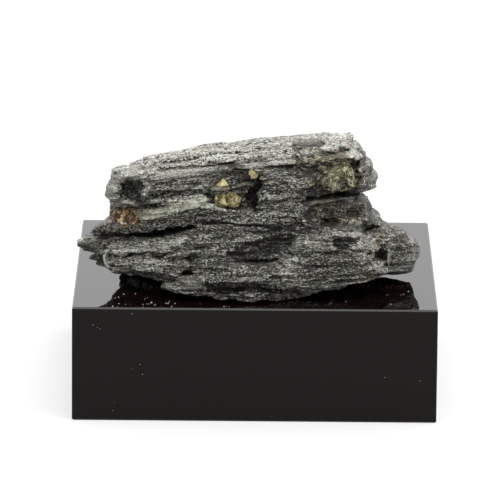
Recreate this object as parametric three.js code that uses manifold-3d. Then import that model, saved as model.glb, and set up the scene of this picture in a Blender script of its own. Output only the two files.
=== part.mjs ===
// Pyrite specimen: a lump of grey foliated schist with brassy pyrite in a broken pit,
// resting on a square black acrylic display block.
// Millimetres, +Z up, +X to the right and -Y to the front; the origin is the centre of the block's foot.

import * as THREE from "three";
import { ConvexGeometry } from "three/addons/geometries/ConvexGeometry.js";
import Module from "manifold-3d";

const wasm = await Module();
wasm.setup();

// ---------------------------------------------------------------- sizes
const STAND_SIDE = 80; // square plan of the acrylic block
const STAND_HEIGHT = 25.6;
const STAND_CHAMFER = 0.35; // polished edges
const CLEARANCE = 0.3; // rock to block, and pyrite to rock

// A bed's floor and roof are given as heights above the block at these three places along x.
const STATION_X = [-32, 0, 30];
const EDGE_POINTS = 32; // corners round one bed
const EDGE_ROUGHNESS = 0.5; // how far a bed's edge wanders in plan
const BED_ROUNDING = 0.34; // rounding of a bed's upper and lower edges
const RIDGE_Y = -12; // where the crown starts to fall away to the back
const BACK_FALL = 0.018; // how fast it falls, per millimetre squared
const BED_OVERLAP = 0.35; // neighbouring beds run into each other by this much
const SPLINTER_SIDES = 6;
const SPLINTER_PARTS = 3; // lengths of one splinter between its notches
const SPLINTER_NOTCH = 0.16; // how far its thickness wanders
const SLAB_END_DETAIL = 2;
const WANDER_STEPS = [12.9898, 78.233]; // large, unrelated steps make the wander look random
const WANDER_GAIN = 43758.5453;
const BED_STEP = 7.3; // a fresh wander for each bed
const CORNER_STEP = 1.7; // and for each corner round it

// ---------------------------------------------------------------- the beds of the rock, bottom to top
// floor, roof: height at the three stations. lean: share of the crown's fall to the back.
// rim: the bed's edge in plan, from the left end round the front to the right end and back.
const BEDS = [
  { name: "keel", floor: [5.2, 0.3, 4.2], roof: [5.6, 3.9, 5.4], lean: 0,
    rim: [[-20.8, -23], [-19.8, -31], [-15.5, -34.2], [-9, -35.2], [-3, -36], [3, -34.8], [8, -31.6],
      [14, -29.4], [21, -27], [25, -22], [24.6, -13], [20, -5], [8, 0.5], [-7, 0], [-17, -7], [-20.4, -15]] },
  { name: "sole_and_ledge", floor: [2.3, 3.6, 3.2], roof: [5.4, 5.9, 5], lean: 0,
    rim: [[-31.6, -17], [-29.5, -22], [-25, -26], [-20.5, -29.5], [-16, -33], [-11, -34.6], [-6, -36.2],
      [1, -36.4], [3.5, -34.4], [10, -34.8], [19, -32.8], [26, -28], [29.4, -21], [30, -10], [22, -2],
      [9, 3.5], [-7, 3.5], [-20, -1], [-29, -9]] },
  { name: "left_slab_lower", floor: [4.9, 5.6, 4.7], roof: [7.6, 8.6, 7.2], lean: 0,
    rim: [[-32.9, -15.5], [-31, -22], [-26, -26.5], [-20, -30.2], [-14, -32.8], [-6, -34.2], [2, -34.6],
      [10, -35], [19, -33.2], [26, -28.5], [28.6, -23], [29, -12], [22, -1], [10, 5], [-7, 5.5], [-21, 1.5],
      [-30.5, -7]] },
  { name: "left_slab_middle", floor: [7.2, 8.2, 6.8], roof: [9.5, 11.3, 9.2], lean: 0,
    rim: [[-34, -15], [-31.5, -21.5], [-25, -27], [-17, -30.8], [-8, -32.6], [1, -32.4], [6.6, -31.8],
      [8, -34.4], [15, -34.2], [22, -31.8], [26.5, -27], [27, -18], [25.5, -8], [18, 0], [6, 6.5], [-8, 7],
      [-21, 3], [-31, -5]] },
  { name: "left_slab_upper", floor: [9.1, 10.9, 8.8], roof: [11, 14, 11.6], lean: 0,
    rim: [[-33, -15], [-31, -21], [-24, -26.8], [-15, -30.4], [-7, -31.8], [2, -31.6], [7.6, -31.4],
      [9.6, -34], [16, -33.6], [22, -30.6], [26, -25.5], [27.5, -16], [26, -8], [17, 1], [5, 7.5],
      [-9, 7.6], [-22, 3.4], [-31, -5]] },
  { name: "under_the_crack", floor: [10.4, 13.6, 10.9], roof: [11.5, 16.3, 12.4], lean: 0.1,
    rim: [[-32, -14.5], [-30, -20.8], [-23.4, -26.2], [-14.6, -30], [-5, -31.2], [4, -31.2], [12, -30.6],
      [20, -29.6], [24.5, -26], [28, -20], [31, -14], [28, -7], [17, 2], [4, 8], [-9, 8], [-22, 3.5],
      [-29.5, -5]] },
  { name: "over_the_crack", floor: [11.9, 16.2, 12.4], roof: [14.8, 19.8, 14.9], lean: 0.25,
    rim: [[-31.6, -15], [-29.5, -21.5], [-24, -25.6], [-16, -28.4], [-8, -30.4], [2, -31], [11, -30.4],
      [18, -28.4], [23, -24.8], [26.6, -19.5], [27.8, -13.5], [24.6, -6], [15, 3], [2, 8.4], [-11, 8],
      [-23, 3], [-30, -6]] },
  { name: "pale_band", floor: [14.5, 19.4, 14.6], roof: [18.5, 22.6, 18.7], lean: 0.4,
    rim: [[-32.2, -16.5], [-31, -22.5], [-26, -26.6], [-18, -29.4], [-9, -30.8], [0, -31], [9, -30.4],
      [16, -28], [21, -24], [24.4, -18.5], [25.2, -13], [22, -4.5], [12, 3.5], [0, 8.4], [-12, 7.6],
      [-24, 2], [-30.6, -7]] },
  { name: "lobe_lower", floor: [18.2, 22.2, 18.8], roof: [20.9, 25.3, 21.7], lean: 0.55,
    rim: [[-32.3, -18], [-31, -23.8], [-26, -28.4], [-18, -30.2], [-9, -31], [1, -31.2], [10, -30.6],
      [17, -28.4], [22, -24.2], [23.6, -18], [23.4, -12], [20, -4], [10, 4], [-1, 8], [-13, 7], [-25, 1],
      [-31, -8]] },
  { name: "lobe_middle", floor: [20.6, 24.9, 21.4], roof: [23.2, 28, 24.4], lean: 0.7,
    rim: [[-33, -19], [-31.6, -24], [-26, -28.6], [-18, -30.4], [-8, -31], [3, -31.2], [12, -30.6],
      [19, -28.6], [23.8, -24.6], [26.3, -18.5], [26.4, -13], [22, -4], [11, 3.6], [-1, 7.2], [-13, 6.2],
      [-24, 0], [-28.6, -9], [-30.6, -15]] },
  { name: "lobe_upper", floor: [22.9, 27.4, 24.1], roof: [24.6, 29.3, 27.6], lean: 0.85,
    rim: [[-31.6, -19.4], [-30.2, -23.4], [-25, -28], [-17, -29.8], [-7, -30.4], [4, -30.6], [13, -30.2],
      [19.6, -28.2], [23.8, -24], [25.2, -18], [24.8, -12], [20, -4], [9, 2.6], [-2, 6], [-13, 5],
      [-22, -1], [-26.4, -9], [-28.6, -15]] },
  { name: "crown_front", floor: [24.2, 28.9, 27.2], roof: [25.1, 30.2, 31.9], lean: 1,
    rim: [[-27.4, -18.5], [-26.2, -23.6], [-22, -27.8], [-14, -29.4], [-4, -29.8], [6, -30], [14, -29.2],
      [20, -26.8], [23.2, -22], [24, -16], [22.4, -9], [16, -2.4], [6, 2.4], [-4, 4.4], [-14, 3],
      [-22, -2.6], [-26, -10]] },
  { name: "crown_top", floor: [24.9, 29.8, 31.4], roof: [25.4, 30.8, 33.7], lean: 1,
    rim: [[-27, -17.5], [-24.6, -22.6], [-17, -26], [-6, -27], [4, -27.6], [12, -27], [17.6, -24.4],
      [20.4, -19.6], [20.8, -13], [17, -7], [8, -3.4], [-3, -2], [-13, -4], [-22, -8], [-26, -12.4]] },
  { name: "right_lobe", floor: [2.6, 2.8, 2.3], roof: [8.4, 9.2, 7], lean: 0,
    rim: [[22, -20], [27, -20.5], [31.5, -20], [34.6, -17], [35.6, -13], [34.8, -8.6], [31, -5], [24, -4],
      [20, -10]] },
  { name: "right_lobe_top", floor: [6.6, 7.4, 5.6], roof: [10.4, 11.4, 9.6], lean: 0,
    rim: [[20, -21], [26, -22], [31, -20.6], [35, -17.4], [36.5, -13.2], [35.4, -9], [31, -5.4], [24, -4],
      [18, -10]] },
  { name: "right_shoulder", floor: [9.4, 10.4, 9], roof: [13.4, 13.8, 11.6], lean: 0,
    rim: [[18, -22], [25, -23], [30, -19.6], [33.4, -15], [33.2, -10.6], [28, -6], [18, -8]] },
  { name: "right_sole", floor: [-5.3, 1.2, 4.7], roof: [5.6, 5.6, 5.6], lean: 0,
    rim: [[2, -34.4], [6, -34.8], [11, -34.8], [17, -33.4], [22, -31.2], [26.6, -27.4], [29, -22],
      [28, -14], [20, -6], [8, -4], [3, -10]] },
  { name: "right_lobe_foot", floor: [1.2, 1, 0.9], roof: [3.4, 3.4, 3.4], lean: 0,
    rim: [[20, -12], [28, -12.8], [33, -12.4], [35, -10.8], [33, -9.4], [28, -8.8], [20, -9]] },
  { name: "heel", floor: [1.3, 0.35, 1.3], roof: [4.2, 4.2, 4.2], lean: 0,
    rim: [[-30.4, -7.4], [-28.6, -8.8], [-25.5, -12.5], [-22, -16], [-12, -19], [0, -20], [0, 0], [-12, 3],
      [-22, 2], [-28.6, -2]] },
  { name: "left_lobe_cap", floor: [22.4, 25.4, 24], roof: [26.1, 29.4, 32.4], lean: 0,
    rim: [[-31.3, -21], [-30, -23.8], [-27.2, -26.6], [-24.4, -27.2], [-23.4, -24], [-25.4, -20.2],
      [-28, -18.6], [-30.5, -18.8]] },
];

// Splinters that stick out of the left end: root, then tip, as [x, y, height, half width, half thickness].
const SPLINTERS = [
  { root: [-28, -18.5, 14, 5, 3.4], tip: [-36.9, -18.8, 11.8, 1, 0.2] },
  { root: [-28, -18.5, 9.5, 6, 2.7], tip: [-38.3, -19.6, 9.5, 2.2, 1.5] },
  { root: [-35, -19, 9.5, 2.6, 1.7], tip: [-39.5, -19.8, 9.4, 1.4, 0.7] },
  { root: [-30, -20.5, 7.4, 3.4, 2.2], tip: [-36.8, -21.3, 6.5, 0.9, 0.2] },
  { root: [-29, -20.8, 6.2, 3.6, 2], tip: [-35.3, -21.3, 5.3, 0.9, 0.3] },
];

// The lower slab's blunt left end, an ellipsoid: centre and radii.
const SLAB_END = { centre: [-29.4, -22.2, 6.9], radii: [3.9, 3.4, 3.5] };

// ---------------------------------------------------------------- hollows and broken corners cut from the front
// Each is a mouth outline in the x-z plane, drawn at the front and pushed back to the depths given for its
// left and its right edge. shrink: size of the hollow's back wall against its mouth.
const HOLLOWS = [
  { name: "long_crack", from: -34, to: [-20.5, -20.5], shrink: [0.98, 0.55],
    mouth: [[-34.5, 9.8], [-31, 10.6], [-28.5, 11.1], [-25.2, 11.6], [-20, 12.5], [-15.9, 14.3],
      [-12.8, 15.8], [-13.6, 16.6], [-17, 16], [-23.2, 14], [-27.6, 12.7], [-31, 12.2], [-34.6, 11.5]] },
  { name: "hairline", from: -34, to: [-28.4, -28.4], shrink: [0.96, 0.7],
    mouth: [[-12.2, 16.1], [-1.2, 16.2], [-0.2, 16.6], [-6, 16.95], [-12, 16.9]] },
  { name: "pyrite_pit", from: -34, to: [-29.7, -28.4], shrink: [0.94, 0.92],
    mouth: [[-11.4, 23.4], [-10.2, 21.3], [-8, 20.8], [-4, 19.7], [-0.6, 19], [0.1, 18.8], [0.5, 21.5],
      [0.8, 24.5], [1.2, 28.2], [-1, 29.3], [-4.6, 28.8], [-7.4, 27.8], [-9.6, 25.8]] },
  { name: "pit_wedge", from: -34, to: [-27.4, -26.2], shrink: [0.88, 0.88],
    mouth: [[-2.6, 22.4], [-1.6, 24], [-0.2, 24.8], [0.5, 27.4], [1.2, 26.6], [0.8, 23.7], [0.5, 21.5],
      [0.2, 18.2], [-0.3, 18.3], [-1.6, 20.4]] },
  { name: "lobe_hollow", from: -34, to: [-23.4, -26.2], shrink: [0.85, 0.8],
    mouth: [[-30.6, 20], [-25.4, 20.3], [-24.5, 23.2], [-24.7, 25.6], [-28, 26], [-30.4, 24.6]] },
  { name: "lens_hollow", from: -38, to: [-30.4, -30.4], shrink: [0.9, 0.8],
    mouth: [[16.7, 12.9], [18.5, 13.9], [21.1, 14.1], [22.4, 13.4], [24, 11.9], [20.7, 11.5], [17.4, 11.5]] },
  { name: "corner_hollow", from: -34, to: [-20.5, -19.5], shrink: [0.7, 0.6],
    mouth: [[26, 7.2], [28.8, 6], [29.2, 8.6], [28.2, 9.6], [25.8, 9.9]] },
  { name: "lower_pit", from: -38, to: [-29.4, -29.4], shrink: [0.75, 0.6],
    mouth: [[-16.4, 4.9], [-13.4, 5.2], [-13.2, 7.2], [-16, 6.4]] },
  { name: "ledge_recess", from: -40, to: [-33.6, -33.6], shrink: [0.92, 0.6],
    mouth: [[-11.6, 2.2], [-3, 1.9], [-2.6, 3.4], [-6, 3.6], [-11.4, 3.3]] },
  { name: "ledge_recess_right", from: -40, to: [-32.4, -32.4], shrink: [0.9, 0.6],
    mouth: [[0.6, 2.4], [5.2, 2.2], [7.6, 1.3], [7.4, 3.9], [1, 3.7]] },
  { name: "upper_undercut", from: -34, to: [-23, -22], shrink: [0.94, 0.5],
    mouth: [[9.4, 21.2], [16, 22], [24.5, 21.4], [24.5, 22.5], [18, 23.6], [9.2, 22.7]] },
  { name: "middle_undercut", from: -34, to: [-26, -26], shrink: [0.9, 0.6],
    mouth: [[14.4, 16.2], [18.4, 16.2], [18.2, 17.4], [14.6, 17.6]] },
  { name: "shoulder_crack", from: -34, to: [-15.5, -15.5], shrink: [0.94, 0.6],
    mouth: [[23.6, 12.9], [31.4, 13], [31.4, 14.1], [23.8, 13.9]] },
  { name: "top_right_slope", from: -45, to: [-8, -8], shrink: [1, 1],
    mouth: [[19.6, 36], [20.4, 33.2], [21.6, 32.3], [23, 30.8], [25.2, 28.8], [26.2, 25.4], [30, 25],
      [30, 36]] },
  { name: "right_notch", from: -45, to: [-4, -4], shrink: [1, 1],
    mouth: [[19.8, 20.2], [22.6, 19.1], [26, 18.1], [28.6, 18.1], [28.6, 22.4], [26, 21.7], [23, 21]] },
];

// ---------------------------------------------------------------- pyrite
// Convex crystals, each by its corners: [x, y, height].
const PYRITE_UPPER = [
  [[-7.3, -29, 27.2], [-9.7, -29, 25.1], [-7.6, -32.2, 25.7], [-6, -30.6, 25.5], [-7.6, -26.8, 25],
    [-7.8, -29, 24.5]],
];
const PYRITE_LOWER = [
  [[-9.3, -29.6, 21.9], [-8, -29.2, 23.1], [-6.7, -31.2, 22.7], [-6.4, -30.6, 20.9], [-7.6, -31, 21.3],
    [-7.6, -27, 21.8]],
  [[-6.6, -29.4, 23.2], [-5, -29, 23.7], [-3.3, -29.4, 22.5], [-3.7, -30.2, 20.9], [-4.7, -30.6, 20.3],
    [-6.7, -30.6, 21], [-5.2, -31.5, 22.2], [-5, -26.8, 21.9]],
];
const PYRITE_RIGHT = [
  [[-1.5, -29.6, 27.9], [-1, -29.2, 28.7], [0.1, -29.2, 28.8], [0.5, -29.4, 28.2], [0.2, -29.6, 27.1],
    [-1.2, -29.6, 27.1], [-0.5, -30.8, 28.3], [-0.5, -26.6, 27.2]],
];
const PYRITE_LEFT = [
  turnedCube(-30.1, -23.8, 17.1, 0.9, 30, 15, 40),
  turnedCube(-28.7, -25, 17, 1.1, 12, 28, 20),
  turnedCube(-27.2, -25.9, 17.2, 0.9, 35, 10, 50),
];
const PYRITE_VEIN = [
  turnedCube(19.3, -26.4, 28.3, 1.1, 20, 35, 10),
  turnedCube(17.7, -27.2, 26.9, 1.1, 40, 15, 35),
  turnedCube(16.2, -27.9, 25.5, 1, 15, 15, 45),
];

// ---------------------------------------------------------------- helpers

// Repeatable wander between -1 and 1.
function wander(a, b) {
  const s = Math.sin(a * WANDER_STEPS[0] + b * WANDER_STEPS[1]) * WANDER_GAIN;
  return 2 * (s - Math.floor(s)) - 1;
}

// Height at x on a sheet given at the three stations.
function sheet(heights, x) {
  const [a, b, c] = STATION_X;
  return (heights[0] * (x - b) * (x - c)) / ((a - b) * (a - c))
    + (heights[1] * (x - a) * (x - c)) / ((b - a) * (b - c))
    + (heights[2] * (x - a) * (x - b)) / ((c - a) * (c - b));
}

// The upper beds are level from their front edge to a ridge and fall away behind it.
function crown(y) {
  return y > RIDGE_Y ? -BACK_FALL * (y - RIDGE_Y) ** 2 : 0;
}

// One welded, closed solid from a three.js geometry; one that came out inside out is turned round.
function solid(geometry) {
  const bare = geometry.index ? geometry.toNonIndexed() : geometry;
  const position = bare.getAttribute("position");
  const weld = (order) => {
    const mesh = new wasm.Mesh({
      numProp: 3,
      vertProperties: new Float32Array(position.array),
      triVerts: Uint32Array.from({ length: position.count }, (_, i) => i - (i % 3) + order[i % 3]),
    });
    mesh.merge();
    return new wasm.Manifold(mesh);
  };
  const body = weld([0, 1, 2]);
  return body.volume() < 0 ? weld([0, 2, 1]) : body;
}

// A three.js mesh from a solid.
function meshOf(body, name, material) {
  const out = body.getMesh();
  const geometry = new THREE.BufferGeometry();
  geometry.setAttribute("position", new THREE.BufferAttribute(new Float32Array(out.vertProperties), 3));
  geometry.setIndex(new THREE.BufferAttribute(new Uint32Array(out.triVerts), 1));
  geometry.computeVertexNormals();
  const mesh = new THREE.Mesh(geometry, material);
  mesh.name = name;
  return mesh;
}

// A bed: its rim drawn as a smooth closed curve with a broken edge, thickened between floor and roof.
function bedSolid(bed, index) {
  const corners = bed.rim.map(([x, y]) => new THREE.Vector3(x, y, 0));
  const curve = new THREE.CatmullRomCurve3(corners, true, "centripetal");
  const centre = new THREE.Vector2();
  bed.rim.forEach(([x, y]) => centre.add(new THREE.Vector2(x, y)));
  centre.divideScalar(bed.rim.length);
  const shape = new THREE.Shape(curve.getSpacedPoints(EDGE_POINTS).slice(0, EDGE_POINTS).map((p, i) => {
    const out = new THREE.Vector2(p.x, p.y).sub(centre).normalize();
    const offset = EDGE_ROUGHNESS * wander(index * BED_STEP, i * CORNER_STEP);
    return new THREE.Vector2(p.x, p.y).addScaledVector(out, offset);
  }));
  const geometry = new THREE.ExtrudeGeometry(shape, {
    depth: 1 - BED_ROUNDING,
    bevelThickness: BED_ROUNDING / 2,
    bevelSize: BED_ROUNDING,
    bevelOffset: -BED_ROUNDING,
    bevelSegments: 1,
    steps: 1,
  });
  geometry.translate(0, 0, BED_ROUNDING / 2);
  const p = geometry.getAttribute("position");
  for (let i = 0; i < p.count; i += 1) {
    const [x, y, share] = [p.getX(i), p.getY(i), p.getZ(i)];
    const low = sheet(bed.floor, x);
    const high = sheet(bed.roof, x) + BED_OVERLAP;
    p.setZ(i, STAND_HEIGHT + low + (high - low) * share + bed.lean * crown(y));
  }
  return solid(geometry);
}

// A splinter: a six-sided tapering blade, its faces a little uneven.
function splinterSolid({ root, tip }) {
  const length = Math.hypot(tip[0] - root[0], tip[1] - root[1], tip[2] - root[2]);
  const geometry = new THREE.CylinderGeometry(1, 1, length, SPLINTER_SIDES, SPLINTER_PARTS);
  const p = geometry.getAttribute("position");
  for (let i = 0; i < p.count; i += 1) {
    const share = p.getY(i) / length + 0.5;
    const at = (k) => THREE.MathUtils.lerp(root[k], tip[k], share);
    const notch = 1 + SPLINTER_NOTCH * wander(Math.round(share * SPLINTER_PARTS), root[2]);
    p.setXYZ(i, at(0), at(1) + p.getX(i) * at(3), STAND_HEIGHT + at(2) - p.getZ(i) * at(4) * notch);
  }
  return solid(geometry);
}

// The blunt end of the lower slab.
function slabEndSolid({ centre, radii }) {
  const geometry = new THREE.IcosahedronGeometry(1, SLAB_END_DETAIL);
  geometry.scale(...radii);
  geometry.translate(centre[0], centre[1], STAND_HEIGHT + centre[2]);
  return solid(geometry);
}

// A hollow: its mouth in the x-z plane run straight back, narrowing to its rear wall.
function hollowSolid({ mouth, from, to, shrink }) {
  const shape = new THREE.Shape(mouth.map(([x, z]) => new THREE.Vector2(x, z)));
  const geometry = new THREE.ExtrudeGeometry(shape, { depth: 1, steps: 1, bevelEnabled: false });
  const mid = mouth.reduce((m, [x, z]) => [m[0] + x / mouth.length, m[1] + z / mouth.length], [0, 0]);
  const left = Math.min(...mouth.map(([x]) => x));
  const right = Math.max(...mouth.map(([x]) => x));
  const p = geometry.getAttribute("position");
  for (let i = 0; i < p.count; i += 1) {
    const share = p.getZ(i);
    const rear = THREE.MathUtils.mapLinear(p.getX(i), left, right, to[0], to[1]);
    const x = mid[0] + (p.getX(i) - mid[0]) * THREE.MathUtils.lerp(1, shrink[0], share);
    const z = mid[1] + (p.getY(i) - mid[1]) * THREE.MathUtils.lerp(1, shrink[1], share);
    p.setXYZ(i, x, THREE.MathUtils.lerp(from, rear, share), STAND_HEIGHT + z);
  }
  return solid(geometry);
}

// The corners of a cube turned about x, y and z by degrees.
function turnedCube(x, y, height, half, ...turn) {
  const facing = new THREE.Euler(...turn.map((angle) => THREE.MathUtils.degToRad(angle)), "ZYX");
  const signs = [-1, 1];
  return signs.flatMap((i) => signs.flatMap((j) => signs.map((k) => {
    const corner = new THREE.Vector3(i, j, k).multiplyScalar(half).applyEuler(facing);
    return [x + corner.x, y + corner.y, height + corner.z];
  })));
}

// One convex crystal, scaled about its middle until every face has moved out by the amount given.
function crystalSolid(corners, grow) {
  const points = corners.map(([x, y, height]) => new THREE.Vector3(x, y, STAND_HEIGHT + height));
  const middle = new THREE.Vector3();
  points.forEach((point) => middle.addScaledVector(point, 1 / points.length));
  const geometry = new ConvexGeometry(points);
  const p = geometry.getAttribute("position");
  const plane = new THREE.Plane();
  let nearest = Infinity;
  for (let i = 0; i < p.count; i += 3) {
    const face = [0, 1, 2].map((k) => new THREE.Vector3().fromBufferAttribute(p, i + k));
    plane.setFromCoplanarPoints(...face);
    nearest = Math.min(nearest, Math.abs(plane.distanceToPoint(middle)));
  }
  const scale = 1 + grow / nearest;
  geometry.translate(-middle.x, -middle.y, -middle.z);
  geometry.scale(scale, scale, scale);
  geometry.translate(middle.x, middle.y, middle.z);
  return solid(geometry);
}

function clusterSolid(crystals, grow) {
  return crystals.map((corners) => crystalSolid(corners, grow)).reduce((a, b) => a.add(b));
}

// ---------------------------------------------------------------- materials
const stone = new THREE.MeshStandardMaterial({ color: 0x6e6a62, roughness: 0.82, metalness: 0 });
const pyrite = new THREE.MeshStandardMaterial({ color: 0xb3a055, roughness: 0.32, metalness: 1 });
const rusted = new THREE.MeshStandardMaterial({ color: 0x6b5433, roughness: 0.6, metalness: 0.5 });
const acrylic = new THREE.MeshStandardMaterial({ color: 0x0d0b0b, roughness: 0.06, metalness: 0 });

// ---------------------------------------------------------------- assembly
const clusters = [
  ["pyrite_cube_upper", PYRITE_UPPER, pyrite],
  ["pyrite_mass_lower", PYRITE_LOWER, pyrite],
  ["pyrite_grain_right", PYRITE_RIGHT, pyrite],
  ["pyrite_mass_left", PYRITE_LEFT, rusted],
  ["pyrite_vein_right", PYRITE_VEIN, rusted],
];

let rock = BEDS.map(bedSolid).reduce((a, b) => a.add(b));
SPLINTERS.forEach((s) => { rock = rock.add(splinterSolid(s)); });
rock = rock.add(slabEndSolid(SLAB_END));
HOLLOWS.forEach((h) => { rock = rock.subtract(hollowSolid(h)); });
clusters.forEach(([, crystals]) => { rock = rock.subtract(clusterSolid(crystals, CLEARANCE)); });
// The main lump alone: chips cut loose and voids closed in between beds are left out.
rock = rock.decompose().reduce((a, b) => (a.volume() > b.volume() ? a : b));

// The stand: a cast block with a fine chamfer round every edge.
const half = STAND_SIDE / 2 - STAND_CHAMFER;
const square = new THREE.Shape([[-half, -half], [half, -half], [half, half], [-half, half]]
  .map(([x, y]) => new THREE.Vector2(x, y)));
const block = new THREE.ExtrudeGeometry(square, {
  depth: STAND_HEIGHT - 2 * STAND_CHAMFER,
  bevelThickness: STAND_CHAMFER,
  bevelSize: STAND_CHAMFER,
  bevelSegments: 1,
});
block.translate(0, 0, STAND_CHAMFER);

const part = new THREE.Group();
part.name = "pyrite_specimen";
part.add(meshOf(rock, "matrix_rock", stone));
clusters.forEach(([name, crystals, material]) => part.add(meshOf(clusterSolid(crystals, 0), name, material)));
part.add(meshOf(solid(block), "stand_block", acrylic));

export default part;
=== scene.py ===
"""Looks of the pyrite specimen: a lump of foliated schist with pyrite, on a black acrylic display block.

The rock is meshed from a distance field: the same stacked beds, splinters and hollows as the solid part,
with thin laminae, fibres and gouges added along the foliation. Lengths are millimetres until a mesh is made.
Heights in the tables are above the display block; x runs along the foliation and -y faces the viewer.
"""

import itertools
import math

import bmesh
import bpy
import numpy as np
from mathutils import Euler, Matrix, Vector
from mathutils.bvhtree import BVHTree


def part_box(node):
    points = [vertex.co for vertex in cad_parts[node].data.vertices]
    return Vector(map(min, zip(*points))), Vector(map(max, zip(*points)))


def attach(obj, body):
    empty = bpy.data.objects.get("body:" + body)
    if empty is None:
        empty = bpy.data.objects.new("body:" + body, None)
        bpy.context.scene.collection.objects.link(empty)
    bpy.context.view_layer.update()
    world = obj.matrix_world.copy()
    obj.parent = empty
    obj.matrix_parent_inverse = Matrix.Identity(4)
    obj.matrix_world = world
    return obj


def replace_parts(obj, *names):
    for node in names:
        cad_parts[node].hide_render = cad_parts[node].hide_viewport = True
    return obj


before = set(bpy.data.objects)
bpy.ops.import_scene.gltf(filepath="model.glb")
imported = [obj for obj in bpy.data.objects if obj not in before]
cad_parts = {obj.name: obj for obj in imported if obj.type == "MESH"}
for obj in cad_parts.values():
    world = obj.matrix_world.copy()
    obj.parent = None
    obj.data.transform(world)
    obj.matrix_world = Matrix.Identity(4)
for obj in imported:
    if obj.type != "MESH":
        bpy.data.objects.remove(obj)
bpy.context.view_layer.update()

MM = 0.001
STAND_LOW, STAND_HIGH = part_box("stand_block")
STAND_TOP = STAND_HIGH.z / MM
STAND_FRONT = STAND_LOW.y / MM

# ---------------------------------------------------------------- the rock's shape
STATION_X = (-32, 0, 30)
RIDGE_Y = -12
BACK_FALL = 0.018

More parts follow.
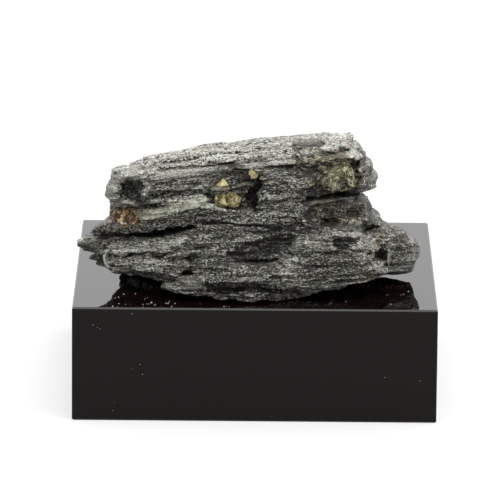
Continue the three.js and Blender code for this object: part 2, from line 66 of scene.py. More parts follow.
# name, floor and roof at the three stations, lean, rim
BEDS = [
    ("keel", (5.2, 0.3, 4.2), (5.6, 3.9, 5.4), 0,
     [(-20.8, -23), (-19.8, -31), (-15.5, -34.2), (-9, -35.2), (-3, -36), (3, -34.8), (8, -31.6),
      (14, -29.4), (21, -27), (25, -22), (24.6, -13), (20, -5), (8, 0.5), (-7, 0), (-17, -7),
      (-20.4, -15)]),
    ("sole_and_ledge", (2.3, 3.6, 3.2), (5.4, 5.9, 5.0), 0,
     [(-31.6, -17), (-29.5, -22), (-25, -26), (-20.5, -29.5), (-16, -33), (-11, -34.6), (-6, -36.2),
      (1, -36.4), (3.5, -34.4), (10, -34.8), (19, -32.8), (26, -28), (29.4, -21), (30, -10), (22, -2),
      (9, 3.5), (-7, 3.5), (-20, -1), (-29, -9)]),
    ("left_slab_lower", (4.9, 5.6, 4.7), (7.6, 8.6, 7.2), 0,
     [(-32.9, -15.5), (-31, -22), (-26, -26.5), (-20, -30.2), (-14, -32.8), (-6, -34.2), (2, -34.6),
      (10, -35), (19, -33.2), (26, -28.5), (28.6, -23), (29, -12), (22, -1), (10, 5), (-7, 5.5), (-21, 1.5),
      (-30.5, -7)]),
    ("left_slab_middle", (7.2, 8.2, 6.8), (9.5, 11.3, 9.2), 0,
     [(-34, -15), (-31.5, -21.5), (-25, -27), (-17, -30.8), (-8, -32.6), (1, -32.4), (6.6, -31.8),
      (8, -34.4), (15, -34.2), (22, -31.8), (26.5, -27), (27, -18), (25.5, -8), (18, 0), (6, 6.5), (-8, 7),
      (-21, 3), (-31, -5)]),
    ("left_slab_upper", (9.1, 10.9, 8.8), (11.0, 14.0, 11.6), 0,
     [(-33, -15), (-31, -21), (-24, -26.8), (-15, -30.4), (-7, -31.8), (2, -31.6), (7.6, -31.4), (9.6, -34),
      (16, -33.6), (22, -30.6), (26, -25.5), (27.5, -16), (26, -8), (17, 1), (5, 7.5), (-9, 7.6),
      (-22, 3.4), (-31, -5)]),
    ("under_the_crack", (10.4, 13.6, 10.9), (11.5, 16.3, 12.4), 0.1,
     [(-32, -14.5), (-30, -20.8), (-23.4, -26.2), (-14.6, -30), (-5, -31.2), (4, -31.2), (12, -30.6),
      (20, -29.6), (24.5, -26), (28, -20), (31, -14), (28, -7), (17, 2), (4, 8), (-9, 8), (-22, 3.5),
      (-29.5, -5)]),
    ("over_the_crack", (11.9, 16.2, 12.4), (14.8, 19.8, 14.9), 0.25,
     [(-31.6, -15), (-29.5, -21.5), (-24, -25.6), (-16, -28.4), (-8, -30.4), (2, -31), (11, -30.4),
      (18, -28.4), (23, -24.8), (26.6, -19.5), (27.8, -13.5), (24.6, -6), (15, 3), (2, 8.4), (-11, 8),
      (-23, 3), (-30, -6)]),
    ("pale_band", (14.5, 19.4, 14.6), (18.5, 22.6, 18.7), 0.4,
     [(-32.2, -16.5), (-31, -22.5), (-26, -26.6), (-18, -29.4), (-9, -30.8), (0, -31), (9, -30.4),
      (16, -28), (21, -24), (24.4, -18.5), (25.2, -13), (22, -4.5), (12, 3.5), (0, 8.4), (-12, 7.6),
      (-24, 2), (-30.6, -7)]),
    ("lobe_lower", (18.2, 22.2, 18.8), (20.9, 25.3, 21.7), 0.55,
     [(-32.3, -18), (-31.0, -23.8), (-26, -28.4), (-18, -30.2), (-9, -31), (1, -31.2), (10, -30.6),
      (17, -28.4), (22, -24.2), (23.6, -18), (23.4, -12), (20, -4), (10, 4), (-1, 8), (-13, 7), (-25, 1),
      (-31, -8)]),
    ("lobe_middle", (20.6, 24.9, 21.4), (23.2, 28.0, 24.4), 0.7,
     [(-33, -19), (-31.6, -24), (-26, -28.6), (-18, -30.4), (-8, -31), (3, -31.2), (12, -30.6), (19, -28.6),
      (23.8, -24.6), (26.3, -18.5), (26.4, -13), (22, -4), (11, 3.6), (-1, 7.2), (-13, 6.2), (-24, 0),
      (-28.6, -9), (-30.6, -15)]),
    ("lobe_upper", (22.9, 27.4, 24.1), (24.6, 29.3, 27.6), 0.85,
     [(-31.6, -19.4), (-30.2, -23.4), (-25, -28), (-17, -29.8), (-7, -30.4), (4, -30.6), (13, -30.2),
      (19.6, -28.2), (23.8, -24), (25.2, -18), (24.8, -12), (20, -4), (9, 2.6), (-2, 6), (-13, 5),
      (-22, -1), (-26.4, -9), (-28.6, -15)]),
    ("crown_front", (24.2, 28.9, 27.2), (25.1, 30.2, 31.9), 1,
     [(-27.4, -18.5), (-26.2, -23.6), (-22, -27.8), (-14, -29.4), (-4, -29.8), (6, -30), (14, -29.2),
      (20, -26.8), (23.2, -22), (24, -16), (22.4, -9), (16, -2.4), (6, 2.4), (-4, 4.4), (-14, 3),
      (-22, -2.6), (-26, -10)]),
    ("crown_top", (24.9, 29.8, 31.4), (25.4, 30.8, 33.7), 1,
     [(-27, -17.5), (-24.6, -22.6), (-17, -26), (-6, -27), (4, -27.6), (12, -27), (17.6, -24.4),
      (20.4, -19.6), (20.8, -13), (17, -7), (8, -3.4), (-3, -2), (-13, -4), (-22, -8), (-26, -12.4)]),
]
# name, floor and roof at the three stations, rim
SIDE_PLATES = [
    ("right_lobe", (2.6, 2.8, 2.3), (8.4, 9.2, 7.0),
     [(22, -20), (27, -20.5), (31.5, -20), (34.6, -17), (35.6, -13), (34.8, -8.6), (31, -5), (24, -4),
      (20, -10)]),
    ("right_lobe_top", (6.6, 7.4, 5.6), (10.4, 11.4, 9.6),
     [(20, -21), (26, -22), (31, -20.6), (35, -17.4), (36.5, -13.2), (35.4, -9), (31, -5.4), (24, -4),
      (18, -10)]),
    ("right_shoulder", (9.4, 10.4, 9.0), (13.4, 13.8, 11.6),
     [(18, -22), (25, -23), (30, -19.6), (33.4, -15), (33.2, -10.6), (28, -6), (18, -8)]),
    ("right_sole", (-5.3, 1.2, 4.7), (5.6, 5.6, 5.6),
     [(2, -34.4), (6, -34.8), (11, -34.8), (17, -33.4), (22, -31.2), (26.6, -27.4), (29, -22), (28, -14),
      (20, -6), (8, -4), (3, -10)]),
    ("right_lobe_foot", (1.2, 1.0, 0.9), (3.4, 3.4, 3.4),
     [(20, -12), (28, -12.8), (33, -12.4), (35, -10.8), (33, -9.4), (28, -8.8), (20, -9)]),
    ("heel", (1.3, 0.35, 1.3), (4.2, 4.2, 4.2),
     [(-30.4, -7.4), (-28.6, -8.8), (-25.5, -12.5), (-22, -16), (-12, -19), (0, -20), (0, 0), (-12, 3),
      (-22, 2), (-28.6, -2)]),
    ("left_lobe_cap", (22.4, 25.4, 24), (26.1, 29.4, 32.4),
     [(-31.3, -21), (-30.0, -23.8), (-27.2, -26.6), (-24.4, -27.2), (-23.4, -24), (-25.4, -20.2),
      (-28.0, -18.6), (-30.5, -18.8)]),
]
# root and tip: x, y, height, half width, half thickness
SPLINTERS = [
    ((-28, -18.5, 14.0, 5.0, 3.4), (-36.9, -18.8, 11.8, 1.0, 0.2)),
    ((-28, -18.5, 9.5, 6.0, 2.7), (-38.3, -19.6, 9.5, 2.2, 1.5)),
    ((-35, -19, 9.5, 2.6, 1.7), (-39.5, -19.8, 9.4, 1.4, 0.7)),
    ((-30, -20.5, 7.4, 3.4, 2.2), (-36.8, -21.3, 6.5, 0.9, 0.2)),
    ((-29, -20.8, 6.2, 3.6, 2.0), (-35.3, -21.3, 5.3, 0.9, 0.3)),
]
SLAB_END = ((-29.4, -22.2, 6.9), (3.9, 3.4, 3.5))  # blunt left end of the lower slab: centre, radii
# name, y at the mouth, y of the back at its left and right, width and height of the back against the mouth,
# roughness, mouth in x and height
HOLLOWS = [
    ("long_crack", -34, (-20.5, -20.5), (0.98, 0.55), 0.35,
     [(-34.5, 9.8), (-31, 10.6), (-28.5, 11.1), (-25.2, 11.6), (-20, 12.5), (-15.9, 14.3), (-12.8, 15.8),
      (-13.6, 16.6), (-17, 16.0), (-23.2, 14.0), (-27.6, 12.7), (-31, 12.2), (-34.6, 11.5)]),
    ("hairline", -34, (-28.4, -28.4), (0.96, 0.7), 0.4,
     [(-12.2, 16.1), (-1.2, 16.2), (-0.2, 16.6), (-6, 16.95), (-12, 16.9)]),
    ("pyrite_pit", -34, (-29.7, -28.4), (0.94, 0.92), 0.65,
     [(-11.4, 23.4), (-10.2, 21.3), (-8, 20.8), (-4, 19.7), (-0.6, 19.0), (0.1, 18.8), (0.5, 21.5),
      (0.8, 24.5), (1.2, 28.2), (-1, 29.3), (-4.6, 28.8), (-7.4, 27.8), (-9.6, 25.8)]),
    ("pit_wedge", -34, (-27.4, -26.2), (0.88, 0.88), 0.5,
     [(-2.6, 22.4), (-1.6, 24.0), (-0.2, 24.8), (0.5, 27.4), (1.2, 26.6), (0.8, 23.7), (0.5, 21.5),
      (0.2, 18.2), (-0.3, 18.3), (-1.6, 20.4)]),
    ("lobe_hollow", -34, (-23.4, -26.2), (0.85, 0.8), 1.1,
     [(-30.6, 20.0), (-25.4, 20.3), (-24.5, 23.2), (-24.7, 25.6), (-28, 26.0), (-30.4, 24.6)]),
    ("lens_hollow", -38, (-30.4, -30.4), (0.9, 0.8), 0.5,
     [(16.7, 12.9), (18.5, 13.9), (21.1, 14.1), (22.4, 13.4), (24.0, 11.9), (20.7, 11.5), (17.4, 11.5)]),
    ("corner_hollow", -34, (-20.5, -19.5), (0.7, 0.6), 0.7,
     [(26.0, 7.2), (28.8, 6.0), (29.2, 8.6), (28.2, 9.6), (25.8, 9.9)]),
    ("lower_pit", -38, (-29.4, -29.4), (0.75, 0.6), 0.8,
     [(-16.4, 4.9), (-13.4, 5.2), (-13.2, 7.2), (-16, 6.4)]),
    ("ledge_recess", -40, (-33.6, -33.6), (0.92, 0.6), 0.8,
     [(-11.6, 2.2), (-3, 1.9), (-2.6, 3.4), (-6, 3.6), (-11.4, 3.3)]),
    ("ledge_recess_right", -40, (-32.4, -32.4), (0.9, 0.6), 0.8,
     [(0.6, 2.4), (5.2, 2.2), (7.6, 1.3), (7.4, 3.9), (1, 3.7)]),
    ("upper_undercut", -34, (-23, -22), (0.94, 0.5), 0.5,
     [(9.4, 21.2), (16, 22.0), (24.5, 21.4), (24.5, 22.5), (18, 23.6), (9.2, 22.7)]),
    ("middle_undercut", -34, (-26, -26), (0.9, 0.6), 0.6,
     [(14.4, 16.2), (18.4, 16.2), (18.2, 17.4), (14.6, 17.6)]),
    ("shoulder_crack", -34, (-15.5, -15.5), (0.94, 0.6), 0.5,
     [(23.6, 12.9), (31.4, 13.0), (31.4, 14.1), (23.8, 13.9)]),
]
# Broken corners, cut like the hollows
FACETS = [
    ("top_right_slope", -45, (-8, -8), (1, 1), 0.6,
     [(19.6, 36), (20.4, 33.2), (21.6, 32.3), (23.0, 30.8), (25.2, 28.8), (26.2, 25.4), (30, 25),
      (30, 36)]),
    ("right_notch", -45, (-4, -4), (1, 1), 0.5,
     [(19.8, 20.2), (22.6, 19.1), (26, 18.1), (28.6, 18.1), (28.6, 22.4), (26.0, 21.7), (23.0, 21.0)]),
]
# Slabs and recesses of the front: how far each stands out, how rugged it is, outline in x and height
FRONT_FORMS = [
    ("right_plate", 1.2, -0.45,
     [(9.2, 14.6), (7.6, 11.5), (8.4, 10.6), (5.2, 9.0), (7.0, 8.2), (4.8, 6.7), (5.9, 4.6), (6.4, 3.4),
      (12, 3.3), (20, 3.7), (27, 4.4), (29.4, 5.0), (26.4, 6.4), (25.5, 9.4), (27.5, 9.6), (25.0, 12.2),
      (23.3, 13.9), (21.1, 15.8), (18, 16), (16.2, 14.9), (13.6, 14.4)]),
    ("dark_recess", -0.5, 0.1,
     [(-2.5, 12.9), (4, 14.4), (9, 14.4), (7.8, 11.4), (8, 10.6), (5, 8.9), (0, 8.4), (-4, 8.8),
      (-6, 10.5)]),
    ("left_slab_shoulder", 0.7, 0,
     [(-32.6, 10.2), (-25.4, 12.0), (-20, 13.3), (-15.5, 14.8), (-9, 14.4), (-9.5, 12.8), (-16, 11.6),
      (-20, 9.9), (-24, 9.6), (-28.7, 8.1), (-32.8, 8.4)]),
    ("left_slab_foot", 0.5, 0,
     [(-33, 6.9), (-28.7, 7.6), (-23.5, 9), (-20.5, 8.3), (-15, 8.8), (-13.8, 8), (-14.6, 6.4), (-18, 4.9),
      (-26, 4.4), (-32, 3.4)]),
    ("ledge", 0.8, 0,
     [(-11, 6.3), (-6, 6.4), (0, 7.2), (4, 8), (5, 6.6), (0.4, 5.4), (-4, 4.9), (-10.2, 4.7)]),
    ("under_the_ledge", -1.0, 0.2,
     [(-10.6, 4.6), (-4, 4.6), (0, 4.6), (4.6, 4.2), (4.8, 2.9), (0, 3.2), (-4, 3.4), (-6, 2.8),
      (-10.4, 3.2)]),
    ("light_knob", 0.6, 0.4, [(-16, 4.8), (-12.6, 4.9), (-12.2, 3.2), (-15, 3.0)]),
    ("broken_corner", -1.0, 1,
     [(8.2, 32.0), (8.4, 29.4), (10.4, 28.4), (12.7, 26.4), (10, 24), (11, 22), (21.5, 22.4), (22.6, 25),
      (22.8, 28), (23, 29.6), (20, 30.6), (17, 31.6), (13.7, 32.6)]),
    ("broken_shoulder", -0.4, 1,
     [(11.4, 21.6), (24, 21.4), (27, 17), (24.6, 14.9), (20, 15.9), (17, 16), (12.2, 16.4), (11, 18.5)]),
    ("crown_lip", 0.5, 0,
     [(-28, 26.2), (-19, 28.2), (-9, 29.2), (-0.8, 30.9), (8, 32.2), (8, 36), (-28, 36)]),
    ("under_the_lip", -0.7, 0,
     [(-10.5, 28.2), (-6.9, 28.6), (-2.5, 29.2), (-2.5, 28.5), (-7, 27.9), (-10.5, 27.4)]),
    ("dark_stripe", -0.7, 0, [(1.2, 30), (8.1, 30.2), (8.4, 28.6), (1.2, 28.6)]),
    ("green_slab", 0.4, 0, [(1.4, 28.4), (8.4, 28.4), (12.6, 26), (10, 23), (1.2, 22.2)]),
    ("left_lobe", 0.6, 0.2,
     [(-33, 26.5), (-27, 27.4), (-24, 26.6), (-22.8, 24.8), (-24, 22.4), (-26, 20.4), (-33, 19.6)]),
    ("pale_slab", 0.6, 0,
     [(-26, 18.9), (-20.6, 19.7), (-16, 21.4), (-11, 22.2), (-10.6, 21.2), (-13.3, 20.3), (-17.4, 18.7),
      (-21, 16.4), (-25.4, 15)]),
]
# Narrow cracks (negative) and raised edges (positive) of the front: relief, half width, course
FRONT_LINES = [
    (-0.8, 0.22, [(-28.7, 7.9), (-23.3, 9.5), (-20.8, 8.5), (-19.5, 9.8)]),
    (-0.7, 0.2, [(-18.9, 8.2), (-14.2, 9.0)]),
    (-0.7, 0.25, [(-13.1, 11.4), (-10, 11.6)]),
    (-0.6, 0.2, [(-31.3, 3.2), (-26.4, 4.6), (-20.9, 4.7), (-16.5, 5.3)]),
    (-0.8, 0.35, [(-20.9, 25.2), (-17.6, 25.7)]),
    (-0.8, 0.3, [(-23.4, 23.1), (-18.7, 23.8), (-16.6, 23.4)]),
    (-0.7, 0.25, [(-24.8, 21.2), (-20.9, 22.8), (-19.6, 23.1)]),
    (-0.8, 0.3, [(-25.7, 19.5), (-21.2, 21.1)]),
    (-1.2, 0.6, [(23.7, 14.1), (28.3, 12.8), (30.7, 12.1)]),
    (-0.6, 0.25, [(1.2, 21.8), (5.2, 22.1), (10, 22.6)]),
    (-1.0, 0.6, [(14.6, 16.5), (17.4, 16.5)]),
    (-1.0, 0.6, [(20, 17.6), (22.2, 16.9)]),
    (-0.7, 0.4, [(-6, 10.2), (0, 10.4), (5, 10.6)]),
    (-0.6, 0.35, [(-2, 12.4), (3, 13), (7, 13.2)]),
    (-0.8, 0.4, [(-2, 8.6), (4, 8.6)]),
    (-0.4, 0.2, [(10, 8), (16, 8.6), (22, 8.9)]),
    (-0.4, 0.2, [(12, 5), (20, 5.8), (26, 6.2)]),
    (-0.4, 0.2, [(9, 11.2), (14, 11.7)]),
    (-0.4, 0.2, [(2, 25.4), (7, 26)]),
    (0.35, 0.22, [(-9.4, 14.1), (-6.5, 14.6), (-1.4, 14.5)]),
    (0.4, 0.4, [(-21.3, 8.3), (-16, 10.3), (-11.4, 11.2), (-7.5, 11.8)]),
    (0.8, 0.3, [(29.2, 9.2), (29.5, 5.9), (29.2, 4.9)]),
    (0.4, 0.35, [(7.6, 2.4), (11.8, 3.0), (16.4, 3.9), (20.7, 3.9), (25.1, 4.1), (28, 4.3)]),
    (0.4, 0.3, [(13.1, 21.2), (16.9, 21.8)]),
    (0.9, 0.4, [(19.0, 32.9), (20.3, 31.8), (21.5, 30.9), (23.1, 29.1), (22.7, 27.3)]),
    (0.4, 0.25, [(8.2, 30.2), (8.5, 28.3)]),
    (0.6, 0.2, [(25.5, 10.8), (26, 10.2), (25.7, 9.7)]),
    (0.6, 0.2, [(25.5, 9.5), (26, 9.1), (25.6, 8.7)]),
    (0.5, 0.3, [(-33.5, 7.9), (-33.4, 6.6), (-32.9, 5.4), (-32.2, 4.5)]),
]
# ---------------------------------------------------------------- how the rock is meshed
CURVE_STEPS = 6  # points between two corners of a rim
BED_EDGE = 0.55  # height over which one bed's edge passes into the next
LEAST_BED = 0.2  # height that every bed keeps
BED_HEIGHT = 2.5  # one bed in the foliation's own measure
BLEND = 0.5  # rounding where forms meet
HOLLOW_BLEND = 0.25  # and at a hollow's mouth
BAND = 1.6  # distance from the plain surface within which detail is worked out
HOLLOW_MARGIN = 1.5  # how far a hollow is worked out past its outline
HOLLOW_RUGGED = 0.3
SUNK_REACH = 1.2  # how far the shade of a hollow reaches into its walls
SUNK_DEPTH = (0.8, 3.6)  # depth below the plain surface over which a hollow gets its full shade
SPLINTER_X = -26  # splinters lie left of this
FRONT_FADE = (-19, -14)  # y over which the front's own forms die out
FORM_EDGE = (-0.18, 0.22)  # distance inside its outline over which a form rises
CHAIN_EDGE = (0.4, 1.25)  # share of its half width over which a chain fades
LOWEST = 0.12  # the rock's lowest point above the block
TILES = [
    # name, low corner, high corner, grid step
    ("rock_front_left", (-41.5, -38.6, -0.6), (-6.0, -13.0, 35.6), 0.25),
    ("rock_front_right", (-6.0, -38.6, -0.6), (38.5, -13.0, 35.6), 0.25),
    ("rock_back", (-41.5, -13.0, -0.6), (38.5, 10.6, 35.6), 0.4),
]

# Kinds of bump, each by its layers: how far they stand out, size along the three axes, start
LUMPS = [(0.9, (9, 6, 6), (0, 0, 0)), (0.55, (4.2, 3, 2.4), (0, 0, 9))]
FIBRES = [(0.20, (1.5, 0.9, 0.34), (0, 0, 5))]
GRAIN = [(0.14, (0.6, 0.5, 0.42), (7, 0, 0))]
COMBED = [(0.9, (11, 1.9, 8), (0, 0, 3)), (0.5, (5, 0.8, 8), (0, 0, 17))]
KNOBS = [(1.9, (2.1, 2.1, 1.5), (0, 0, 40)), (1.0, (0.9, 0.9, 0.7), (0, 0, 0))]
# How far outlines wander in x and in height
FRONT_WANDER_X = [(2.6, (1.5, 0.6, 1), (0, 0, 3.5))]
FRONT_WANDER_Z = [(0.9, (2.2, 1.2, 1), (0, 0, 8.5))]
HOLLOW_WANDER = ([(1.6, (1.3, 1.8, 0.6), (0, 0, 2))], [(0.7, (1.8, 1.8, 1.1), (4, 0, 0))])
STAIN_WANDER = ([(2.4, (1.6, 1.6, 0.5), (0, 0, 0))], [(1.0, (2.2, 2.2, 1), (5, 0, 0))])
# Flat flakes: how far they stand out, thickness, share of the wave, size in x and y, step from one layer to
# the next, noise over which a flake's edge rises
PLATES = (0.42, 0.8, 1, (6.5, 3.6), 3.7, (0.3, 0.7))
SLIVERS = (0.24, 0.37, 2.5, (2.6, 1.7), 5.3, (0.2, 0.8))
FLAKE_WAVE = (1.1, (12, 9, 4), (0, 0, 21))
GOUGES = (0.7, (4.6, 2.6, 0.8), (31, 0, 13))
GOUGE_EDGE = (0.70, 0.84)
TOP_BED = (28.5, 30.5)  # foliation over which the combed top begins
# Where the relief dies down: the share that is lost, and the x over which it is lost
CALM_RIGHT = (0.45, 28.5, 30.5)
CALM_LEFT = (0.75, -31.5, -34)
LUMPS_LOST = 0.5  # share of the lumps, and of the foliated relief, that the combed top loses
FOLIATED_LOST = 0.65
RUGGED_GRAIN = 0.5  # grain that rugged ground gains, and foliated relief that it loses
RUGGED_FOLIATED = 0.6
TILE_MARGIN = 2  # grid steps worked out round a tile


def closed_curve(points):
    """Points along a smooth closed curve through the given ones."""
    a, b, c, d = (np.roll(np.array(points, float), n, 0) for n in (1, 0, -1, -2))
    return np.stack([
        0.5 * (2 * b + (c - a) * t + (2 * a - 5 * b + 4 * c - d) * t**2 + (3 * b - a - 3 * c + d) * t**3)
        for t in np.arange(CURVE_STEPS) / CURVE_STEPS
    ], 1).reshape(-1, 2)


def polygon_distance(points, u, v):
    """Signed distance to a closed polygon, negative inside, at arrays u and v."""
    nearest = np.full(u.shape, np.inf, np.float32)
    inside = np.zeros(u.shape, bool)
    for (x0, y0), (x1, y1) in zip(points, np.roll(points, -1, 0)):
        ex, ey = x1 - x0, y1 - y0
        wx, wy = u - x0, v - y0
        along = np.clip((wx * ex + wy * ey) / (ex * ex + ey * ey), 0, 1)
        nearest = np.minimum(nearest, (wx - ex * along) ** 2 + (wy - ey * along) ** 2)
        if y0 != y1:
            inside ^= ((y0 > v) != (y1 > v)) & (u < ex * (v - y0) / ey + x0)
    return np.where(inside, -1, 1) * np.sqrt(nearest)


def sheet(heights, x):
    """Height at x on a sheet given at the three stations."""
    a, b, c = STATION_X
    return (
        heights[0] * (x - b) * (x - c) / ((a - b) * (a - c))
        + heights[1] * (x - a) * (x - c) / ((b - a) * (b - c))
        + heights[2] * (x - a) * (x - b) / ((c - a) * (c - b))
    )


def crown(y):
    """How far the top has fallen away behind the ridge."""
    return np.where(y > RIDGE_Y, -BACK_FALL * (y - RIDGE_Y) ** 2, 0)


def smooth_max(a, b, r):
    h = np.clip(0.5 + 0.5 * (a - b) / r, 0, 1)
    return b + (a - b) * h + r * h * (1 - h)


def smooth_min(a, b, r):
    return -smooth_max(-a, -b, r)


def ease(x, low, high):
    """0 at low and 1 at high, with a soft start and end."""
    t = np.clip((x - low) / (high - low), 0, 1)
    return t * t * (3 - 2 * t)


NOISE_SIDE = 64
NOISE = np.random.default_rng(11).random((NOISE_SIDE,) * 3).astype(np.float32)


def noise(x, y, z, layered=False):
    """Smooth repeatable noise from 0 to 1. When layered, it jumps from one whole z to the next."""
    cells = [np.floor(value).astype(np.int64) for value in (x, y, z)]
    shares = [ease(value - np.floor(value), 0, 1) for value in (x, y, z)]
    if layered:
        shares.pop()
    out = 0
    for corner in itertools.product((0, 1), repeat=len(shares)):
        steps = (*corner, 0)[:3]
        value = NOISE[tuple((cell + step) % NOISE_SIDE for cell, step in zip(cells, steps))]
        for share, step in zip(shares, corner):
            value = value * (share if step else 1 - share)
        out = out + value
    return out


def noise_of(size, start, x, y, z):
    return noise(*(value / s + o for value, s, o in zip((x, y, z), size, start)))


def bumps(layers, x, y, z):
    """The height of one kind of bump, about zero."""
    return sum(height * (noise_of(size, start, x, y, z) - 0.5) for height, size, start in layers)


def flakes(kind, wave, x, y, s):
    """The height of flat flakes along the foliation, each layer broken differently from the next."""
    height, thickness, bend, size, step, edge = kind
    layer = np.floor(s / thickness + bend * wave)
    return height * (ease(noise(x / size[0] + layer * step, y / size[1], layer, layered=True), *edge) - 0.5)


def stack_fields(x, y, z):
    """The plain rock's distance field and its foliation coordinate on a grid."""
    gx, gy = np.meshgrid(x, y, indexing="ij")
    fall = crown(gy)
    levels = [sheet(floor, gx) + lean * fall for _, floor, _, lean, _ in BEDS]
    _, _, roof, lean, _ = BEDS[-1]
    levels.append(sheet(roof, gx) + lean * fall)
    levels[0] = np.minimum(levels[0], levels[1])
    for k in range(1, len(levels)):
        levels[k] = np.maximum(levels[k], levels[k - 1] + LEAST_BED)
    levels = [level[:, :, None] for level in levels]
    field = None
    foliation = 0
    for (*_, rim), low, high in zip(BEDS, levels, levels[1:]):
        plan = polygon_distance(closed_curve(rim), gx, gy)[:, :, None]
        if field is None:
            field = plan + 0 * z
        else:
            field = field + (plan - field) * ease(z, low - BED_EDGE / 2, low + BED_EDGE / 2)
        foliation = foliation + np.clip((z - low) / (high - low), 0, 1)
    field = smooth_max(field, z - levels[-1], BLEND)
    field = smooth_max(field, levels[0] - z, BLEND)
    for _, floor, roof, rim in SIDE_PLATES:
        plan = polygon_distance(closed_curve(rim), gx, gy)[:, :, None]
        slab = np.maximum(sheet(floor, gx)[:, :, None] - z, z - sheet(roof, gx)[:, :, None])
        field = smooth_min(field, smooth_max(plan, slab, BLEND * 2), BLEND)
    return field.astype(np.float32), (foliation * BED_HEIGHT).astype(np.float32)


def knob_field(centre, radii, x, y, z):
    """Distance-like field of an ellipsoid."""
    away = np.sqrt(sum(((p - c) / r) ** 2 for p, c, r in zip((x, y, z), centre, radii)))
    return (away - 1) * min(radii)


def splinter_field(root, tip, x, y, z):
    """A tapering blade from root to tip."""
    share = (x - root[0]) / (tip[0] - root[0])
    _, middle, level, width, thickness = (r + (t - r) * np.clip(share, 0, 1) for r, t in zip(root, tip))
    across = np.abs(y - middle) - width
    thick = np.abs(z - level) - thickness
    beyond = (share - 1) * abs(tip[0] - root[0])
    return np.maximum(np.maximum(across, thick), np.maximum(beyond, x - root[0]))


def hollow_field(points, mouth_y, backs, shrink, x, y, z):
    """Negative inside the hollow, whose section shrinks from its mouth to its back."""
    mid = points.mean(0)
    left, right = points[:, 0].min(), points[:, 0].max()
    back_y = backs[0] + (backs[1] - backs[0]) * np.clip((x - left) / (right - left), 0, 1)
    depth = np.clip((y - mouth_y) / (back_y - mouth_y), 0, 1)
    u = mid[0] + (x - mid[0]) / (1 + (shrink[0] - 1) * depth)
    v = mid[1] + (z - mid[1]) / (1 + (shrink[1] - 1) * depth)
    return np.maximum(polygon_distance(points, u, v), y - back_y)


def chain_nearness(chain, x, z):
    """1 on a chain of (x, height, half width) spots, fading to 0 a little past the half width."""
    out = np.zeros(np.broadcast(x, z).shape)
    for (x0, z0, w0), (x1, z1, w1) in zip(chain, chain[1:]):
        ex, ez = x1 - x0, z1 - z0
        share = np.clip(((x - x0) * ex + (z - z0) * ez) / (ex * ex + ez * ez), 0, 1)
        away = np.hypot(x - x0 - ex * share, z - z0 - ez * share) / (w0 + (w1 - w0) * share)
        out = np.maximum(out, 1 - ease(away, *CHAIN_EDGE))
    return out


def front_maps(x, z):
    """How far the front's forms stand out and how rugged they are, on a grid of x and height."""
    gx, gz = np.meshgrid(x, z, indexing="ij")
    wx = gx + bumps(FRONT_WANDER_X, gx, gz, 0 * gx)
    wz = gz + bumps(FRONT_WANDER_Z, gx, gz, 0 * gx)
    out = np.zeros_like(gx)
    rugged = np.zeros_like(gx)
    for _, height, wild, outline in FRONT_FORMS:
        inside = ease(-polygon_distance(np.array(outline, float), wx, wz), *FORM_EDGE)
        out = out + height * inside
        rugged = np.maximum(rugged, wild * inside)
    for height, width, course in FRONT_LINES:
        out = out + height * chain_nearness([(*spot, width) for spot in course], gx, wz)
    return out.astype(np.float32), rugged.astype(np.float32)


def calmed(x, share, low, high):
    return 1 - share * ease(x, low, high)


def relief(x, y, s, z, rugged):
    """How far the broken surface stands out from the plain one."""
    wave = FLAKE_WAVE[0] * noise_of(*FLAKE_WAVE[1:], x, y, s)
    gouges = GOUGES[0] * ease(noise_of(*GOUGES[1:], x, y, s), *GOUGE_EDGE)
    grain = bumps(GRAIN, x, y, s)
    foliated = flakes(PLATES, wave, x, y, s) + flakes(SLIVERS, wave, x, y, s)
    foliated = foliated + bumps(FIBRES, x, y, s) + grain - gouges
    top = ease(s, *TOP_BED)
    calm = calmed(x, *CALM_RIGHT) * calmed(x, *CALM_LEFT) * (1 + np.minimum(rugged, 0))
    rugged = np.maximum(rugged, 0)
    plain = bumps(LUMPS, x, y, s) * (1 - LUMPS_LOST * top) + foliated * (1 - FOLIATED_LOST * top)
    plain = plain + bumps(COMBED, x, y, s) * top
    broken = bumps(KNOBS, x, y, z) + RUGGED_GRAIN * grain - RUGGED_FOLIATED * foliated
    return calm * plain + rugged * broken


